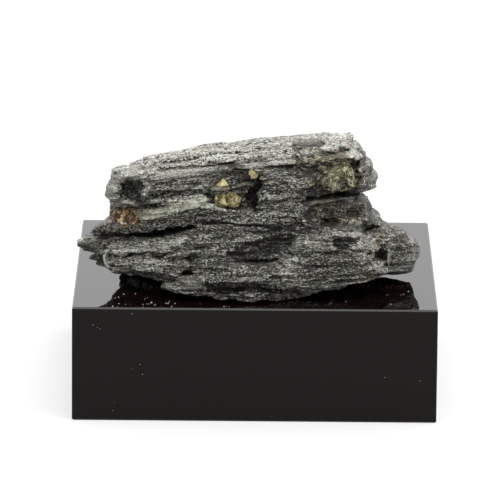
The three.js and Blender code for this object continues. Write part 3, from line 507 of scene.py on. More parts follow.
def rock_field(x, y, z):
    """Distance field, foliation, relief, ruggedness and painted hollow shade of the finished rock on a grid.
    """
    field, foliation = stack_fields(x, y, z)
    gx, gy, gz = (a.astype(np.float32) for a in np.meshgrid(x, y, z, indexing="ij"))
    near = gx < SPLINTER_X
    left_end = (gx[near], gy[near], gz[near])
    for root, tip in SPLINTERS:
        field[near] = smooth_min(field[near], splinter_field(root, tip, *left_end), BLEND)
        field[near] = smooth_min(field[near], knob_field(*SLAB_END, *left_end), BLEND)
    front = 1 - ease(gy, *FRONT_FADE)
    forms, wild = front_maps(x, z)
    rugged = wild[:, None, :] * front
    raised = forms[:, None, :] * front
    band = np.abs(field) < BAND
    raised[band] += relief(gx[band], gy[band], foliation[band], gz[band], rugged[band])
    field = field - raised
    hollow_shade = np.zeros_like(field)
    for hollow in HOLLOWS + FACETS:
        _, mouth_y, backs, shrink, rough, mouth = hollow
        points = np.array(mouth, float)
        low, high = points.min(0) - HOLLOW_MARGIN, points.max(0) + HOLLOW_MARGIN
        near = (gx > low[0]) & (gx < high[0]) & (gz > low[1]) & (gz < high[1])
        near &= gy < max(backs) + HOLLOW_MARGIN
        if not near.any():
            continue
        px, py, pz = gx[near], gy[near], gz[near]
        wx, wz = px + bumps(HOLLOW_WANDER[0], px, py, pz), pz + bumps(HOLLOW_WANDER[1], px, py, pz)
        cut = hollow_field(points, mouth_y, backs, shrink, wx, py, wz)
        if hollow in HOLLOWS:
            # painted shade: the deeper a point lies inside a hollow, the darker it is painted
            hollow_shade[near] = np.maximum(hollow_shade[near], ease(-field[near], *SUNK_DEPTH) * (cut < SUNK_REACH))
        close = np.abs(cut) < BAND
        cut[close] += rough * relief(
            px[close], py[close], foliation[near][close], pz[close], HOLLOW_RUGGED)
        field[near] = smooth_max(field[near], -cut, HOLLOW_BLEND)
    field = np.maximum(field, LOWEST - gz)
    return field, foliation, raised, rugged, hollow_shade


def surface_net(field):
    """Vertices in grid units and quads of the zero surface of a field that is negative inside."""
    inside = field < 0
    corners = list(itertools.product((0, 1), repeat=3))
    nx, ny, nz = (n - 1 for n in field.shape)
    count = np.zeros((nx, ny, nz), np.int8)
    for i, j, k in corners:
        count += inside[i : i + nx, j : j + ny, k : k + nz]
    cells = np.argwhere((count > 0) & (count < 8))
    total = np.zeros((len(cells), 3))
    crossings = np.zeros(len(cells))
    for a, axis in itertools.product(corners, range(3)):
        if a[axis]:
            continue
        b = tuple(1 if n == axis else v for n, v in enumerate(a))
        fa = field[tuple((cells + a).T)]
        fb = field[tuple((cells + b).T)]
        crossed = (fa < 0) != (fb < 0)
        spot = np.tile(np.array(a, float), (len(cells), 1))
        spot[:, axis] = np.where(crossed, fa / np.where(crossed, fa - fb, 1), 0)
        total += spot * crossed[:, None]
        crossings += crossed
    vertices = cells + total / crossings[:, None]
    number = np.full(count.shape, -1, np.int64)
    number[tuple(cells.T)] = np.arange(len(cells))
    quads = []
    for axis in range(3):
        one, two = [n for n in range(3) if n != axis]
        low = [slice(1, -1)] * 3
        low[axis] = slice(0, -1)
        high = list(low)
        high[axis] = slice(1, None)
        at = np.argwhere(inside[tuple(low)] != inside[tuple(high)])
        at[:, [one, two]] += 1
        ring = []
        for d1, d2 in ((0, 0), (-1, 0), (-1, -1), (0, -1)):
            c = at.copy()
            c[:, one] += d1
            c[:, two] += d2
            ring.append(number[tuple(c.T)])
        ring = np.stack(ring, 1)
        outward = inside[tuple(at.T)] != (axis == 1)
        ring[~outward] = ring[~outward][:, ::-1]
        quads.append(ring)
    quads = np.concatenate(quads)
    return vertices, quads[(quads >= 0).all(1)]


def sample(grid, at):
    """Grid values at fractional grid positions."""
    low = np.clip(np.floor(at).astype(int), 0, np.array(grid.shape) - 2)
    share = at - low
    out = 0
    for corner in itertools.product((0, 1), repeat=3):
        out = out + grid[tuple((low + corner).T)] * np.where(corner, share, 1 - share).prod(1)
    return out


# ---------------------------------------------------------------- where the rock changes colour
# Chains of (x, height, half width) along the front
PALE_CHAINS = [
    [(-32.4, 19.6, 0.5), (-26.2, 20.5, 0.35)],
    [(-25.4, 17.2, 1.2), (-22.5, 18.6, 1.1), (-18.5, 20.0, 0.9), (-15, 21.0, 0.9), (-11, 21.8, 0.7)],
    [(12.6, 21.2, 0.35), (16.9, 21.8, 0.35)],
    [(18, 3.6, 0.5), (26, 4.0, 0.6)],
    [(-9.5, 24.6, 0.45), (-7.8, 24.3, 0.6), (-6.1, 24.1, 0.45)],
    [(-3.2, 25.3, 0.4), (-0.9, 25.0, 0.3)],
]
RUST_CHAINS = [
    [(9.5, 29.8, 1.4), (12, 29.5, 2.0), (17, 29.5, 3.0), (21.5, 27, 2.6)],
    [(12.5, 25.5, 1.5), (16, 23.5, 1.2), (22, 22.8, 1)],
    [(13, 19.5, 1.8), (18, 18.5, 2.2), (23, 17.5, 1.8)],
    [(27.4, 12.4, 1.2), (26.6, 10.8, 0.8)],
    [(24, 4.6, 0.6), (27, 5, 0.6)],
    [(-31, 16, 1.6), (-27, 16.6, 1.8)],
]
GREEN_CHAINS = [
    [(15.2, 26.2, 0.9), (17, 28.4, 1.1), (19.4, 30, 0.9), (19.8, 28.6, 0.7), (17.4, 26.4, 0.8)],
    [(18.6, 26.4, 0.5), (20.6, 27.2, 0.5), (21.4, 25.6, 0.5)],
    [(-7.4, 23.7, 0.4), (-5, 23.9, 0.5)],
    [(-4.6, 28.6, 0.5), (-2.6, 28.2, 0.5)],
    [(12.8, 21.6, 0.5), (17, 21.9, 0.4)],
]
# Lighter (positive) and darker (negative) ground, own tone with painted highlights and shade: amount, chains
TONE_CHAINS = {
    0.28: [[(-9.5, 24.6, 0.45), (-7.8, 24.3, 0.6), (-6.1, 24.1, 0.45)]],
    # painted highlight on the rim of the lower slab's blunt end
    0.24: [[(-33.2, 9.0, 0.2), (-33.6, 7.7, 0.25), (-32.8, 6.0, 0.25), (-32.2, 4.4, 0.25)]],
    0.18: [[(-31.6, 9.4, 0.7), (-27, 10.0, 0.9), (-20, 11.6, 1.0), (-15.5, 13.6, 0.8)]],
    0.17: [[(-31, 5.2, 0.9), (-25, 6.6, 1.5), (-19, 7.2, 1.3)]],
    0.16: [[(25.5, 10.8, 0.3), (26.1, 10.2, 0.3), (25.8, 9.0, 0.3)],
        [(-33.6, 7.9, 0.35), (-33.3, 6.4, 0.35), (-32.2, 4.6, 0.35)]],
    0.14: [[(28.9, 9.2, 0.35), (29.5, 6.2, 0.35), (28.6, 4.6, 0.5)], [(21.8, 10.4, 0.5), (23, 10.6, 0.4)],
        [(-38.6, 10.2, 0.3), (-37.1, 10.6, 0.35), (-35.3, 10.9, 0.35)]],
    0.13: [[(-24, 17.6, 1.3), (-18.5, 19.8, 1.1), (-11, 21.8, 0.8)]],
    0.12: [[(-15.5, 4.1, 0.8), (-13, 4.2, 0.8)],
        [(-36.4, 12.6, 0.2), (-35.3, 13.5, 0.3), (-33.8, 13.8, 0.3)]],
    0.11: [[(-22.5, 24.6, 2.4), (-16, 25.4, 2.4), (-11.5, 26, 1.6)]],
    0.1: [[(-22, 21.8, 1.0), (-16, 22.6, 1.2), (-12, 22.8, 0.8)],
        [(-15, 22.8, 0.9), (-10.4, 20.8, 1.0), (-8, 19.6, 0.7)],
        [(-25, 26, 0.8), (-23.6, 24.6, 0.8), (-24.8, 22, 0.8)],
        [(-32, 22, 0.8), (-31.4, 25, 0.8), (-28, 26.8, 0.6)], [(20.6, 16.6, 0.6), (24, 15.2, 0.6)]],
    0.09: [[(-21.3, 8.5, 0.5), (-16, 10.3, 0.6), (-8, 11.8, 0.5)]],
    0.08: [[(9.5, 13.6, 0.7), (16, 14.2, 0.7), (20, 15.2, 0.7), (24.5, 12, 0.6)],
        [(27, 11.9, 0.8), (28.6, 11.4, 0.8)]],
    # painted highlight along the ridge of the top right slope
    0.06: [[(19.0, 32.9, 0.4), (20.3, 31.8, 0.45), (21.5, 30.9, 0.5), (23.1, 29.1, 0.6), (22.7, 27.3, 0.4)]],
    0.05: [[(34, 11, 0.9), (35.5, 8.6, 0.8), (34.8, 5, 0.8)]],
    -0.02: [[(-9, 3.8, 0.8), (-4, 3.6, 0.9), (3.5, 3.2, 0.9)]],
    -0.03: [[(13, 19.6, 1.4), (20, 18.6, 1.6), (23, 17.5, 1.2)]],
    -0.04: [[(-12, 11.8, 0.6), (-6, 12.6, 0.8), (0, 12.6, 1.2)], [(-14, 8.6, 1.6), (-7, 8.4, 1.8)]],
    -0.05: [[(-11, 14.6, 1.4), (0, 15.2, 1.4), (10, 16.4, 1.4)]],
    -0.06: [[(-10, 5.6, 0.8), (-4.7, 5.8, 0.8), (0.3, 6.6, 0.7), (4, 7.6, 0.5)],
        [(-31, 13.0, 0.5), (-27, 13.8, 0.7), (-22, 14.8, 0.6), (-18, 16.2, 0.3)],
        [(11, 7.6, 1.5), (17, 7.2, 1.5), (24, 7.0, 1.2)]],
    -0.08: [[(24.6, 27, 1.0), (25, 25, 1.2)], [(6, 20, 1.6), (11, 19, 1.6)],
        [(-36, 12.6, 0.5), (-33.6, 12.4, 0.7)], [(31.5, 9.6, 1.4), (33, 8.6, 1.2)]],
    # first chain: painted shadow along the lower edge of the crown's lip
    -0.09: [[(-22, 27.6, 0.7), (-14, 28.8, 0.8), (-5, 29.6, 0.8)],
        [(10, 8.5, 1.8), (17, 10.5, 2.2), (22, 9.5, 1.6)],
        [(9, 29.8, 1.0), (12, 29.2, 1.4), (14.5, 27.6, 1.2)]],
    -0.1: [[(-28.6, 24.6, 1.4), (-27.4, 22, 1.6)], [(-9, 27.6, 0.9), (-3, 28.4, 0.9)],
        [(-1.2, 23.4, 0.9), (-0.4, 20.6, 0.8)], [(12.4, 24.4, 0.8), (20, 24, 0.8), (24, 23.6, 0.6)],
        [(-38, 6.6, 0.8), (-34.6, 6.0, 1.2), (-34.4, 4.2, 0.8)]],
    -0.14: [[(-4, 9.4, 1.0), (1, 10, 1.8), (5, 12.6, 1.8)],
        # painted shade on the underside of the middle left splinter
        [(-39.0, 9.2, 0.4), (-37.7, 8.8, 0.6), (-36.2, 8.0, 0.8), (-34.4, 6.8, 0.9), (-33.7, 6.0, 0.7)],
        [(-34, 10.4, 0.6), (-33.9, 8.6, 0.5)]],
    -0.16: [[(21.5, 33, 0.8), (24, 30.6, 0.9)]],
    -0.2: [[(-32.5, 9.6, 0.3), (-32.2, 8.2, 0.35), (-31.7, 6.1, 0.35)], [(-28, 1.0, 1.2), (-20, 1.0, 1.0)]],
    -0.22: [[(-11.4, 23.3, 0.6), (-10.2, 22.4, 0.8), (-9.2, 21.4, 0.4)],
        # painted shadow under the crown's lip
        [(-9.7, 29.2, 0.4), (-6.6, 29.8, 0.45), (-3.3, 29.5, 0.4)]],
    # painted shadow between the two upper left splinters
    -0.24: [[(-36.4, 12.0, 0.2), (-35.6, 11.5, 0.3), (-33.1, 11.5, 0.35)]],
    # painted shade inside the lens hollow
    -0.26: [[(17.6, 12.9, 0.45), (20, 13.1, 0.6), (22.4, 12.6, 0.45)]],
}
# Painted shade darkening the hollows
HOLLOW_SHADE_TONE = -0.14
# Foliation or height at which back stains, the top's painted light and recess painted shade begin, or their
# noise
PALE_BED = 18.4
PALE_REACH = (0.3, 1.2)
PALE_PATCHES = ((7, 7, 5), (0, 0, 30))
PALE_SHARE = (0.4, 0.65)
RUST_PATCHES = ((10, 10, 6), (3, 0, 0))
RUST_SHARE = (0.55, 0.75)
RUST_TOP = (26, 29)
LIT_TOP_FOLIATION = (27.8, 30.5)
LIT_TOP_HEIGHT = (22, 26)
RECESS_SHADE_DEPTH = (-0.25, 0.9)


def chains_mask(chains, x, z):
    return np.max([chain_nearness(chain, x, z) for chain in chains], axis=0)


def rock_colours(x, y, z, s, raised, rugged, hollow_shade):
    """Pale, rusty and sulphide stains, tone, painted light on the top, painted shade in recesses, at each
    vertex.
    """
    front = 1 - ease(y, *FRONT_FADE)
    wx, wz = x + bumps(STAIN_WANDER[0], x, y, z), z + bumps(STAIN_WANDER[1], x, y, z)
    pale, rust, green = (front * chains_mask(c, wx, wz) for c in (PALE_CHAINS, RUST_CHAINS, GREEN_CHAINS))
    # round the back the same stains run along the foliation
    pale_back = 1 - ease(np.abs(s - PALE_BED + wz - z), *PALE_REACH)
    pale_back = pale_back * ease(noise_of(*PALE_PATCHES, x, y, z), *PALE_SHARE)
    rust_back = ease(noise_of(*RUST_PATCHES, x, y, z), *RUST_SHARE) * (1 - ease(s, *RUST_TOP))
    tone = sum(
        amount * chain_nearness(chain, wx, wz) for amount, chains in TONE_CHAINS.items() for chain in chains)
    return {
        "pale": np.maximum(pale, (1 - front) * pale_back),
        "rust": np.maximum(rust, (1 - front) * rust_back),
        "green": green,
        # tone: the chains' own tone, painted highlights and painted shade, plus painted shade in the hollows
        "tone": front * tone + HOLLOW_SHADE_TONE * hollow_shade,
        # painted light: the top beds are lightened
        "top": ease(s, *LIT_TOP_FOLIATION) * ease(z, *LIT_TOP_HEIGHT),
        # painted shade: the recesses are darkened
        "recess": ease(-raised, *RECESS_SHADE_DEPTH),
        "rugged": rugged,
    }


def without_chips(quads, spots, low, high):
    """Leave out loose chips and closed voids: small shells that don't reach the tile's edge."""
    label = np.arange(len(spots))
    one, two = quads.ravel(), np.roll(quads, -1, 1).ravel()
    while True:
        joined = label.copy()
        np.minimum.at(joined, one, label[two])
        np.minimum.at(joined, two, label[one])
        joined = joined[joined]
        if (joined == label).all():
            break
        label = joined
    at_edge = ((spots < low) | (spots > high)).any(1)
    kept = np.zeros(len(spots), bool)
    kept[label[at_edge]] = True
    kept[np.bincount(label[quads[:, 0]]).argmax()] = True
    return quads[kept[label[quads[:, 0]]]]


def rock_tile(name, low, high, step, material):
    """One block of the rock's surface."""
    low = np.array(low, float)
    high = np.array(high, float)
    counts = ((high - low) / step).astype(int) + 2 * TILE_MARGIN + 1
    axes = [start - TILE_MARGIN * step + step * np.arange(count) for start, count in zip(low, counts)]
    field, foliation, *grids = rock_field(*axes)
    vertices, quads = surface_net(field)
    spots = np.array([axis[0] for axis in axes]) + vertices * step
    centre = spots[quads].mean(1)
    keep = ((centre >= low) & (centre < high)).all(1)
    quads = without_chips(quads[keep], spots, low + step, high - step)
    used = np.unique(quads)
    renumber = np.full(len(vertices), -1)
    renumber[used] = np.arange(len(used))
    vertices, spots, quads = vertices[used], spots[used], renumber[quads]
    x, y, z = spots.T
    s = sample(foliation, vertices)
    colours = rock_colours(x, y, z, s, *(sample(grid, vertices) for grid in grids))
    return mesh_piece(name, spots, quads, material, colours, np.stack([x, y, s], 1))


def add_piece(name, mesh, material):
    """Put a mesh in the scene, riding on the part."""
    mesh.materials.append(material)
    piece = bpy.data.objects.new(name, mesh)
    bpy.context.scene.collection.objects.link(piece)
    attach(piece, "root")
    return piece


def mesh_piece(name, spots, faces, material, attributes, strata=None):
    """A smooth mesh from points above the block and faces with the same number of corners."""
    mesh = bpy.data.meshes.new(name)
    places = (np.asarray(spots) + (0, 0, STAND_TOP)) * MM
    faces = np.asarray(faces)
    mesh.vertices.add(len(places))
    mesh.vertices.foreach_set("co", places.ravel())
    mesh.loops.add(faces.size)
    mesh.loops.foreach_set("vertex_index", faces.ravel())
    mesh.polygons.add(len(faces))
    mesh.polygons.foreach_set("loop_start", np.arange(len(faces)) * faces.shape[1])
    mesh.update(calc_edges=True)
    mesh.validate()
    mesh.polygons.foreach_set("use_smooth", np.ones(len(mesh.polygons), bool))
    for key, values in attributes.items():
        mesh.attributes.new(key, "FLOAT", "POINT").data.foreach_set("value", values.astype(np.float32))
    if strata is not None:
        layer = mesh.attributes.new("strata", "FLOAT_VECTOR", "POINT")
        layer.data.foreach_set("vector", strata.astype(np.float32).ravel())
    return add_piece(name, mesh, material)


# ---------------------------------------------------------------- pyrite
def turned_cube(x, y, height, half, *turn):
    """The corners of a cube turned about x, y and z by degrees."""
    facing = Euler([math.radians(angle) for angle in turn]).to_matrix()
    corners = itertools.product((-1, 1), repeat=3)
    return [Vector((x, y, height)) + facing @ (Vector(corner) * half) for corner in corners]


# Convex crystals, each by its corners: x, y, height
PYRITE_UPPER = [
    [(-7.3, -29.0, 27.2), (-9.7, -29.0, 25.1), (-7.6, -32.2, 25.7), (-6.0, -30.6, 25.5), (-7.6, -26.8, 25.0),
     (-7.8, -29.0, 24.5)],
]
PYRITE_LOWER = [
    [(-9.3, -29.6, 21.9), (-8.0, -29.2, 23.1), (-6.7, -31.2, 22.7), (-6.4, -30.6, 20.9), (-7.6, -31.0, 21.3),
     (-7.6, -27.0, 21.8)],
    [(-6.6, -29.4, 23.2), (-5.0, -29.0, 23.7), (-3.3, -29.4, 22.5), (-3.7, -30.2, 20.9), (-4.7, -30.6, 20.3),
     (-6.7, -30.6, 21.0), (-5.2, -31.5, 22.2), (-5.0, -26.8, 21.9)],
]
PYRITE_RIGHT = [
    [(-1.5, -29.6, 27.9), (-1.0, -29.2, 28.7), (0.1, -29.2, 28.8), (0.5, -29.4, 28.2),
     (0.2, -29.6, 27.1), (-1.2, -29.6, 27.1), (-0.5, -30.8, 28.3), (-0.5, -26.6, 27.2)],
]
PYRITE_LEFT = [
    turned_cube(-28.7, -25.0, 17.0, 1.1, 12, 28, 20),
    turned_cube(-30.1, -23.8, 17.1, 0.9, 30, 15, 40),
    turned_cube(-27.2, -25.9, 17.2, 0.9, 35, 10, 50),
]
PYRITE_VEIN = [
    turned_cube(19.4, -26.7, 28.4, 0.4, 20, 35, 10),
    turned_cube(17.6, -27.7, 26.6, 0.4, 40, 15, 35),
    turned_cube(16.0, -28.3, 25.4, 0.35, 15, 15, 45),
]
CRYSTAL_TURN = (15, 25, 35)  # the small crystals' common bearing
CRYSTAL_BEVEL = 0.05
FLAT_ANGLE = 2  # degrees under which two faces are one
INNERMOST = 0.5  # share of a crystal's reach at which small ones begin


def crystal_cluster(name, crystals, growth, material, slot, seed):
    """Crystals with bevelled edges. Growth over them: how many, how large, how far out, how far turned."""
    rng = np.random.default_rng(seed)
    bm = bmesh.new()
    shade = bm.verts.layers.float.new("shade")
    grown = list(crystals)
    count, sizes, spread, wander = growth
    for _ in range(count):
        corners = np.array(crystals[rng.integers(len(crystals))])
        middle = corners.mean(0)
        reach = np.linalg.norm(corners - middle, axis=1).mean()
        shift = rng.normal(0, 1, 3)
        shift *= reach * rng.uniform(INNERMOST, spread) / np.linalg.norm(shift)
        spot = middle + (shift[0], -abs(shift[1]) / (2 * spread), shift[2])
        turn = np.array(CRYSTAL_TURN) + rng.normal(0, wander, 3)
        grown.append(turned_cube(*spot, reach * rng.uniform(*sizes), *turn))
    for index, corners in enumerate(grown):
        tint = index / len(crystals) if index < len(crystals) else rng.random()
        made = [bm.verts.new((Vector(corner) + Vector((0, 0, STAND_TOP))) * MM) for corner in corners]
        for vertex in made:
            vertex[shade] = tint
        bmesh.ops.convex_hull(bm, input=made)
    bmesh.ops.dissolve_limit(bm, angle_limit=math.radians(FLAT_ANGLE), verts=bm.verts[:], edges=bm.edges[:])
    bmesh.ops.bevel(bm, geom=bm.edges[:], offset=CRYSTAL_BEVEL * MM, segments=1, affect="EDGES")
    return bmesh_piece(name, bm, material)


def bmesh_piece(name, bm, material):
    mesh = bpy.data.meshes.new(name)
    bm.to_mesh(mesh)
    bm.free()
    return add_piece(name, mesh, material)


# Strands of sulphide on the broken corner: x, height, spread, number, heading in degrees
STRAND_GROUNDS = [
    (15.4, 26.0, 1.0, 18, 55), (17.4, 28.0, 1.3, 36, 30), (19.2, 29.2, 0.9, 22, 60),
    (17.2, 25.0, 0.9, 24, 50), (20.8, 27.2, 0.8, 16, -65), (21.0, 25.4, 0.7, 16, -80),
    (14.0, 26.8, 1.0, 12, 70), (18.8, 24.6, 0.9, 10, 20), (12.6, 25.4, 1.0, 8, 40),
    (15.0, 28.6, 1.0, 8, 20),
]
STRAND_CROWDING = 1.6  # how much denser a ground is than its spread
STRAND_STRAY = 0.35  # radians off the ground's heading
STRAND_BEND = 0.8
STRAND_LENGTH = (0.8, 2.6)
STRAND_RADIUS = (0.06, 0.17)
STRAND_TAPER = 2.8
STRAND_LIFT = 0.02
STRAND_FLATNESS = (0.7, 1.3)  # across the rock's face and out of it
STRAND_STEPS = 10
STRAND_SIDES = 5
RAY_START = -60  # y in front of the rock


def sulphide_strands(name, rock, material, seed):
    """Fine curved strands of tarnished sulphide draped over the rock's front."""
    rng = np.random.default_rng(seed)
    mesh = rock.data
    tree = BVHTree.FromPolygons([v.co for v in mesh.vertices], [p.vertices[:] for p in mesh.polygons])
    across, out = STRAND_FLATNESS
    spots, faces, shades = [], [], []
    for cx, cz, spread, count, bearing in STRAND_GROUNDS:
        for _ in range(count):
            x, z = (c + rng.normal(0, spread / STRAND_CROWDING) for c in (cx, cz))
            heading = math.radians(bearing) + rng.normal(0, STRAND_STRAY)
            bend = rng.normal(0, STRAND_BEND)
            length = rng.uniform(*STRAND_LENGTH)
            thickness = rng.uniform(*STRAND_RADIUS)
            rings = []
            for t in np.linspace(-0.5, 0.5, STRAND_STEPS):
                angle = heading + bend * t
                px, pz = x + length * t * math.cos(angle), z + length * t * math.sin(angle)
                hit = tree.ray_cast(Vector((px, RAY_START, pz + STAND_TOP)) * MM, Vector((0, 1, 0)))[0]
                if hit is not None:
                    rings.append((px, hit.y / MM + STRAND_LIFT, pz, thickness * math.cos(STRAND_TAPER * t)))
            base = len(spots)
            for px, py, pz, r in rings:
                for a in 2 * math.pi * np.arange(STRAND_SIDES) / STRAND_SIDES:
                    side = r * math.cos(a) * across
                    spots.append((px + side, py + r * math.sin(a) * out, pz + side))
            shades += [rng.random()] * (len(spots) - base)
            for i, k in itertools.product(range(len(rings) - 1), range(STRAND_SIDES)):
                a, b = (base + i * STRAND_SIDES + n % STRAND_SIDES for n in (k, k + 1))
                faces.append((a, b, b + STRAND_SIDES, a + STRAND_SIDES))
    return mesh_piece(name, spots, faces, material, {"shade": np.array(shades)})


# Crumbs fallen on the block. On top: x, y. On the front face: x, height
CRUMBS_TOP = [
    (-30.7, -39.5), (-30.8, -31.2), (-28.6, -28.6), (-29.0, -36.5), (-27.7, -37.5), (-26.3, -19.7),
    (-25.7, -27.9), (-24.3, -31.7), (-24.9, -39.3), (-24.0, -37.1), (-22.7, -35.6), (-22.1, -37.5),
    (-21.2, -36.5), (-19.3, -35.5), (-18.6, -34.5), (-17.3, -35.5), (-18.0, -38.7), (-12.1, -36.0),
    (-7.0, -37.5), (-5.7, -38.2), (-36.1, -33.8), (29.6, -27.1), (31.8, -26.7), (33.5, -24.2),
    (20.7, -34.0), (17.2, -35.0), (30.1, -34.8),
]
CRUMBS_FRONT = [
    (-34.4, -4.5), (-35.4, -3.9), (-33.8, -4.8), (-26.9, -1.3), (-26.9, -13.8), (-25.1, -12.8),
    (-24.5, -15.1), (-31.0, -23.3), (-30.7, -21.6), (28.6, -15.3), (36.4, -16.0), (3.8, -24.3),
]
MOST_CRUMBS = 3  # in one spot
CRUMB_SCATTER = 0.5
CRUMB_RADIUS_TOP = (0.05, 0.13)
CRUMB_RADIUS_FRONT = (0.04, 0.08)
CRUMB_SHAPE = (0.6, 1.3)  # longest and shortest against the radius
CRUMB_HEIGHT = 0.05
CRUMB_STANDOFF = 0.03
EDGE_MARGIN = 0.5  # crumbs on top keep this far from the block's front edge


def fallen_crumbs(name, material, seed):
    """Grains of rock that lie on the block's top and cling to its front."""
    rng = np.random.default_rng(seed)
    bm = bmesh.new()
    bm.verts.layers.float.new("shade")
    crumbs = []
    for x, y in CRUMBS_TOP:
        for _ in range(rng.integers(1, MOST_CRUMBS + 1)):
            across = x + rng.normal(0, CRUMB_SCATTER)
            deep = max(y + rng.normal(0, CRUMB_SCATTER), STAND_FRONT + EDGE_MARGIN)
            crumbs.append((across, deep, CRUMB_HEIGHT, rng.uniform(*CRUMB_RADIUS_TOP)))
    for x, z in CRUMBS_FRONT:
        crumbs.append((x, STAND_FRONT - CRUMB_STANDOFF, z, rng.uniform(*CRUMB_RADIUS_FRONT)))
    for x, y, z, radius in crumbs:
        turn = Euler(rng.uniform(0, 6, 3)).to_matrix().to_4x4()
        stretch = Matrix.Diagonal((*(radius * MM * rng.uniform(*CRUMB_SHAPE, 3)), 1))
        place = Matrix.Translation(Vector((x, y, z + STAND_TOP)) * MM)
        bmesh.ops.create_icosphere(bm, subdivisions=1, radius=1, matrix=place @ turn @ stretch)
    return bmesh_piece(name, bm, material)


# ---------------------------------------------------------------- materials
class Nodes:
    """The nodes of a material or world, added by type and joined by socket."""

    def __init__(self, owner, shader="Principled BSDF"):
        owner.use_nodes = True
        self.owner = owner
        self.tree = owner.node_tree
        self.shader = self.tree.nodes[shader].inputs

    def add(self, kind, values=(), output=0, **settings):
        """An output of a new node, whose inputs get values in a row or by name or number."""
        node = self.tree.nodes.new("ShaderNode" + kind)
        for key, value in settings.items():
            setattr(node, key, value)
        self.fill(node.inputs, values if isinstance(values, dict) else dict(enumerate(values)))
        return node.outputs[output]

    def fill(self, sockets, values):
        """Join an output to each socket, or set the socket's number, vector or colour."""
        for key, value in values.items():
            if isinstance(value, bpy.types.NodeSocket):
                self.tree.links.new(value, sockets[key])
            else:
                colour = sockets[key].type == "RGBA"
                sockets[key].default_value = (*value, 1) if colour else value

    def finish(self, inputs):
        """Fill the shader's inputs by name."""
        self.fill(self.shader, inputs)
        return self.owner

    def place(self):
        """The point on the object, in millimetres."""
        return self.scaled(self.add("TexCoord", output="Object"), (1 / MM,) * 3)

    def attribute(self, name, output="Fac"):
        return self.add("Attribute", output=output, attribute_name=name)

    def axis(self, vector, number):
        return self.add("SeparateXYZ", (vector,), number)

    def scaled(self, vector, factors):
        return self.add("VectorMath", (vector, factors), operation="MULTIPLY")

    def noise(self, vector, repeats, detail=3, roughness=0.55):
        """Noise with so many repeats per millimetre along each axis."""
        place = self.scaled(vector, repeats)
        values = {"Vector": place, "Scale": 1, "Detail": detail, "Roughness": roughness}
        return self.add("TexNoise", values, "Fac")

    def cells(self, vector, repeats):
        """A random value for each small cell."""
        place = self.scaled(vector, repeats)
        return self.axis(self.add("TexVoronoi", {"Vector": place, "Scale": 1}, "Color"), 0)

    def math(self, operation, a, b):
        return self.add("Math", (a, b), operation=operation)

    def total(self, parts, start=0):
        """The weighted sum of several values."""
        for value, weight in parts:
            start = self.math("ADD", self.math("MULTIPLY", value, weight), start)
        return start

    def span(self, value, low, high, to_low=0, to_high=1, kind="LINEAR"):
        return self.add("MapRange", (value, low, high, to_low, to_high), interpolation_type=kind)

    def ramp(self, value, stops):
        out = self.add("ValToRGB", (value,))
        elements = out.node.color_ramp.elements
        while len(elements) < len(stops):
            elements.new(0.5)
        for element, (position, colour) in zip(elements, stops):
            element.position = position
            element.color = (*colour, 1)
        return out

    def mix(self, share, a, b, blend="MIX"):
        return self.add("Mix", {0: share, 6: a, 7: b}, 2, data_type="RGBA", blend_type=blend)

    def bump(self, height, distance, strength=1):
        return self.add("Bump", {"Height": height, "Distance": distance * MM, "Strength": strength})


def new_material(name):
    return Nodes(bpy.data.materials.new(name))


def schist_material():
    """Dark and light mica laminae along the foliation, with pale, rusty and sulphide stains, painted shade
    and light.
    """
    n = new_material("schist")
    strata = n.attribute("strata", "Vector")
    rugged = n.attribute("rugged")
    bent = n.mix(rugged, strata, n.place())
    bands = n.noise(bent, (0.06, 0.25, 0.9), 2, 0.5)
    streaks = n.noise(bent, (0.2, 0.5, 2.0), 3, 0.6)
    fibres = n.noise(bent, (0.5, 1.5, 3.8), 4, 0.8)
    flecks = n.cells(bent, (1.8, 2.6, 4.4))
    specks = n.cells(bent, (3.2, 4.4, 6.2))
    patches = n.noise(strata, (0.09, 0.09, 0.35), 2, 0.5)
    # painted shade: surfaces that face downwards are darkened
    underside_shade = n.span(n.axis(n.add("NewGeometry", output="True Normal"), 2), -0.35, -0.8)
    # the recess and top terms are painted shade and painted light; tone carries painted shade and highlights
    # too
    tone = n.total([
        (bands, 0.3), (streaks, 0.25), (fibres, 0.35), (flecks, 0.20), (specks, 0.48), (patches, 0.15),
        (underside_shade, -0.16), (n.attribute("tone"), 1), (n.attribute("recess"), -0.12),
        (n.attribute("top"), 0.155),
    ], -0.412)
    grey = n.ramp(tone, [
        (0.16, (0.003, 0.0025, 0.002)), (0.30, (0.010, 0.009, 0.008)), (0.39, (0.036, 0.033, 0.029)),
        (0.48, (0.115, 0.108, 0.097)), (0.58, (0.245, 0.24, 0.222)), (0.80, (0.62, 0.62, 0.59)),
    ])
    pale = n.math("MULTIPLY", n.attribute("pale"), n.span(fibres, 0.3, 0.5, 0, 0.5))
    colour = n.mix(pale, grey, (0.42, 0.42, 0.33))
    rust = n.math("MULTIPLY", n.attribute("rust"), n.span(streaks, 0.3, 0.55, 0, 0.9))
    colour = n.mix(rust, colour, (0.92, 0.76, 0.56), "MULTIPLY")
    green = n.math("MULTIPLY", n.attribute("green"), n.span(fibres, 0.4, 0.6, 0, 0.45))
    colour = n.mix(green, colour, (0.30, 0.27, 0.14))
    hues = n.span(n.noise(bent, (0.35, 0.35, 0.8), 2, 0.6), 0.4, 0.6)
    tints = n.mix(hues, (1.04, 0.985, 0.945), (0.97, 1.02, 0.935))
    return n.finish({
        "Base Color": n.mix(1, colour, tints, "MULTIPLY"),
        "Roughness": n.span(flecks, 0, 1, 0.75, 0.35),
        "Specular IOR Level": 0.3,
        "Normal": n.bump(n.total([(fibres, 0.8), (flecks, 0.35), (specks, 0.35)]), 0.28),
    })


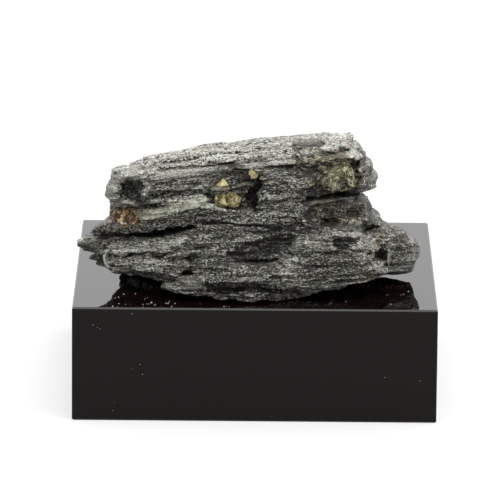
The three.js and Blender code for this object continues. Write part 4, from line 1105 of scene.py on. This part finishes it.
def pyrite_material(name, colours, roughness, metallic, by_crystal):
    """Pyrite: striated, mottled, and each crystal a little lighter or darker than the next."""
    n = new_material(name)
    patches = n.noise(n.place(), (1.5, 1.5, 1.5), 3, 0.65)
    striae = n.noise(n.place(), (0.9, 0.9, 6), 2, 0.5)
    share = n.total([(n.span(patches, 0.38, 0.62), 1 - by_crystal), (n.attribute("shade"), by_crystal)])
    return n.finish({
        "Base Color": n.ramp(share, colours),
        "Roughness": n.span(patches, 0.35, 0.65, roughness, roughness + 0.25),
        "Normal": n.bump(striae, 0.1, 0.5),
        "Metallic": metallic,
    })


def crumb_material():
    n = new_material("pale_crumbs")
    grains = n.noise(n.place(), (0.9, 0.9, 0.9))
    colour = n.ramp(grains, [(0.35, (0.35, 0.34, 0.32)), (0.6, (0.85, 0.85, 0.83))])
    return n.finish({"Base Color": colour, "Roughness": 0.6})


def acrylic_material():
    """Polished black acrylic with a trace of dust."""
    n = new_material("black_acrylic")
    dust = n.span(n.noise(n.place(), (1.5, 1.5, 1.5), 3, 0.7), 0.62, 0.85)
    polish = n.noise(n.place(), (0.06, 0.06, 0.06), 2)
    return n.finish({
        "Base Color": n.mix(dust, (0.0035, 0.0016, 0.0014), (0.010, 0.008, 0.007)),
        "Roughness": n.span(polish, 0.3, 0.7, 0.015, 0.05),
        "IOR": 1.25,
    })


def floor_material():
    return new_material("pale_sweep").finish({
        "Base Color": (0.3, 0.3, 0.3),
        "Roughness": 0.9,
        "Emission Color": (1, 1, 1),
        "Emission Strength": 0.55,
    })


# ---------------------------------------------------------------- studio
CAMERA_PLACE = (-1.2, -1251.76, 345.04)
CAMERA_DOWN = 14.18  # degrees below level
CAMERA_ROLL = 0.484
CAMERA_LENS = 413.06
CAMERA_SENSOR = 36
CAMERA_REACH = 20  # metres
FRONT_LIGHT = 0.5  # brightness of the room in front of, behind and above the specimen
BACK_LIGHT = 1.66
TOP_LIGHT = 1.6
SOFTBOX_PLACE = (150, -350, 800)
SOFTBOX_TARGET = (0, 0, 40)
SOFTBOX_SIZE = (600, 400)
SOFTBOX_POWER = 5
FLOOR_SIZE = 12  # metres


def make_camera():
    data = bpy.data.cameras.new("camera")
    data.sensor_width = CAMERA_SENSOR
    data.lens = CAMERA_LENS
    data.clip_end = CAMERA_REACH
    camera = bpy.data.objects.new("camera", data)
    tilt = Matrix.Rotation(math.radians(90 - CAMERA_DOWN), 4, "X")
    roll = Matrix.Rotation(math.radians(CAMERA_ROLL), 4, "Z")
    camera.matrix_world = Matrix.Translation(Vector(CAMERA_PLACE) * MM) @ tilt @ roll
    bpy.context.scene.collection.objects.link(camera)
    bpy.context.scene.camera = camera


def make_world():
    """A room that is bright behind and above the specimen."""
    n = Nodes(bpy.data.worlds.new("studio"), "Background")
    direction = n.add("TexCoord", output="Generated")
    behind = n.span(n.axis(direction, 1), -0.75, 0.45, FRONT_LIGHT, BACK_LIGHT, "SMOOTHSTEP")
    above = n.span(n.axis(direction, 2), 0.35, 0.95, 0, TOP_LIGHT, "SMOOTHSTEP")
    strength = n.math("MAXIMUM", behind, above)
    bpy.context.scene.world = n.finish({"Strength": strength, "Color": (1, 1, 1)})


def make_softbox():
    data = bpy.data.lights.new("softbox_above", "AREA")
    data.shape = "RECTANGLE"
    data.size, data.size_y = Vector(SOFTBOX_SIZE) * MM
    data.energy = SOFTBOX_POWER
    lamp = bpy.data.objects.new("softbox_above", data)
    lamp.location = Vector(SOFTBOX_PLACE) * MM
    beam = Vector(SOFTBOX_TARGET) - Vector(SOFTBOX_PLACE)
    lamp.rotation_euler = beam.to_track_quat("-Z", "Y").to_euler()
    bpy.context.scene.collection.objects.link(lamp)


def make_floor():
    bpy.ops.mesh.primitive_plane_add(size=FLOOR_SIZE)
    floor = bpy.context.object
    floor.name = "floor"
    floor.data.materials.append(floor_material())


# ---------------------------------------------------------------- assembly
bpy.context.scene.view_settings.view_transform = "Standard"
make_camera()
make_world()
make_floor()
make_softbox()

schist = schist_material()
rock_pieces = [rock_tile(*tile, schist) for tile in TILES]
for piece in rock_pieces:
    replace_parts(piece, "matrix_rock")

# name, colours from light to dark, roughness, metallic, share of the shade that goes by crystal
brass = pyrite_material(
    "bright_pyrite", [(0.2, (0.67, 0.59, 0.34)), (0.8, (0.38, 0.33, 0.16))], 0.35, 0.45, 0.3)
mottled = pyrite_material(
    "mottled_pyrite", [(0.1, (0.64, 0.58, 0.36)), (0.4, (0.38, 0.33, 0.17)), (0.8, (0.10, 0.08, 0.035))],
    0.35, 0.9, 0.45)
brown = pyrite_material(
    "rusted_pyrite", [(0.06, (0.86, 0.76, 0.60)), (0.2, (0.34, 0.24, 0.12)), (0.5, (0.11, 0.072, 0.030)),
                      (0.85, (0.015, 0.010, 0.005))], 0.5, 0.2, 0.6)
olive = pyrite_material(
    "sulphide", [(0.15, (0.50, 0.48, 0.32)), (0.8, (0.15, 0.13, 0.07))], 0.45, 0.2, 0.8)
clusters = [
    ("pyrite_cube_upper", PYRITE_UPPER, (0, (0, 0), 0, 0), brass, "pyrite"),
    ("pyrite_mass_lower", PYRITE_LOWER, (90, (0.1, 0.24), 0.8, 16), mottled, "pyrite"),
    ("pyrite_grain_right", PYRITE_RIGHT, (24, (0.12, 0.28), 0.9, 14), brass, "pyrite"),
    ("pyrite_mass_left", PYRITE_LEFT, (360, (0.08, 0.22), 1.25, 60), brown, "rusted_pyrite"),
    ("pyrite_vein_right", PYRITE_VEIN, (60, (0.08, 0.24), 2.4, 60), olive, "rusted_pyrite"),
]
for seed, (node, *cluster) in enumerate(clusters):
    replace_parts(crystal_cluster(node + "_crystals", *cluster, seed), node)
sulphide_strands("sulphide_strands", rock_pieces[1], olive, 21)
fallen_crumbs("fallen_crumbs", crumb_material(), 5)

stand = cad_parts["stand_block"]
stand.data.materials.clear()
stand.data.materials.append(acrylic_material())
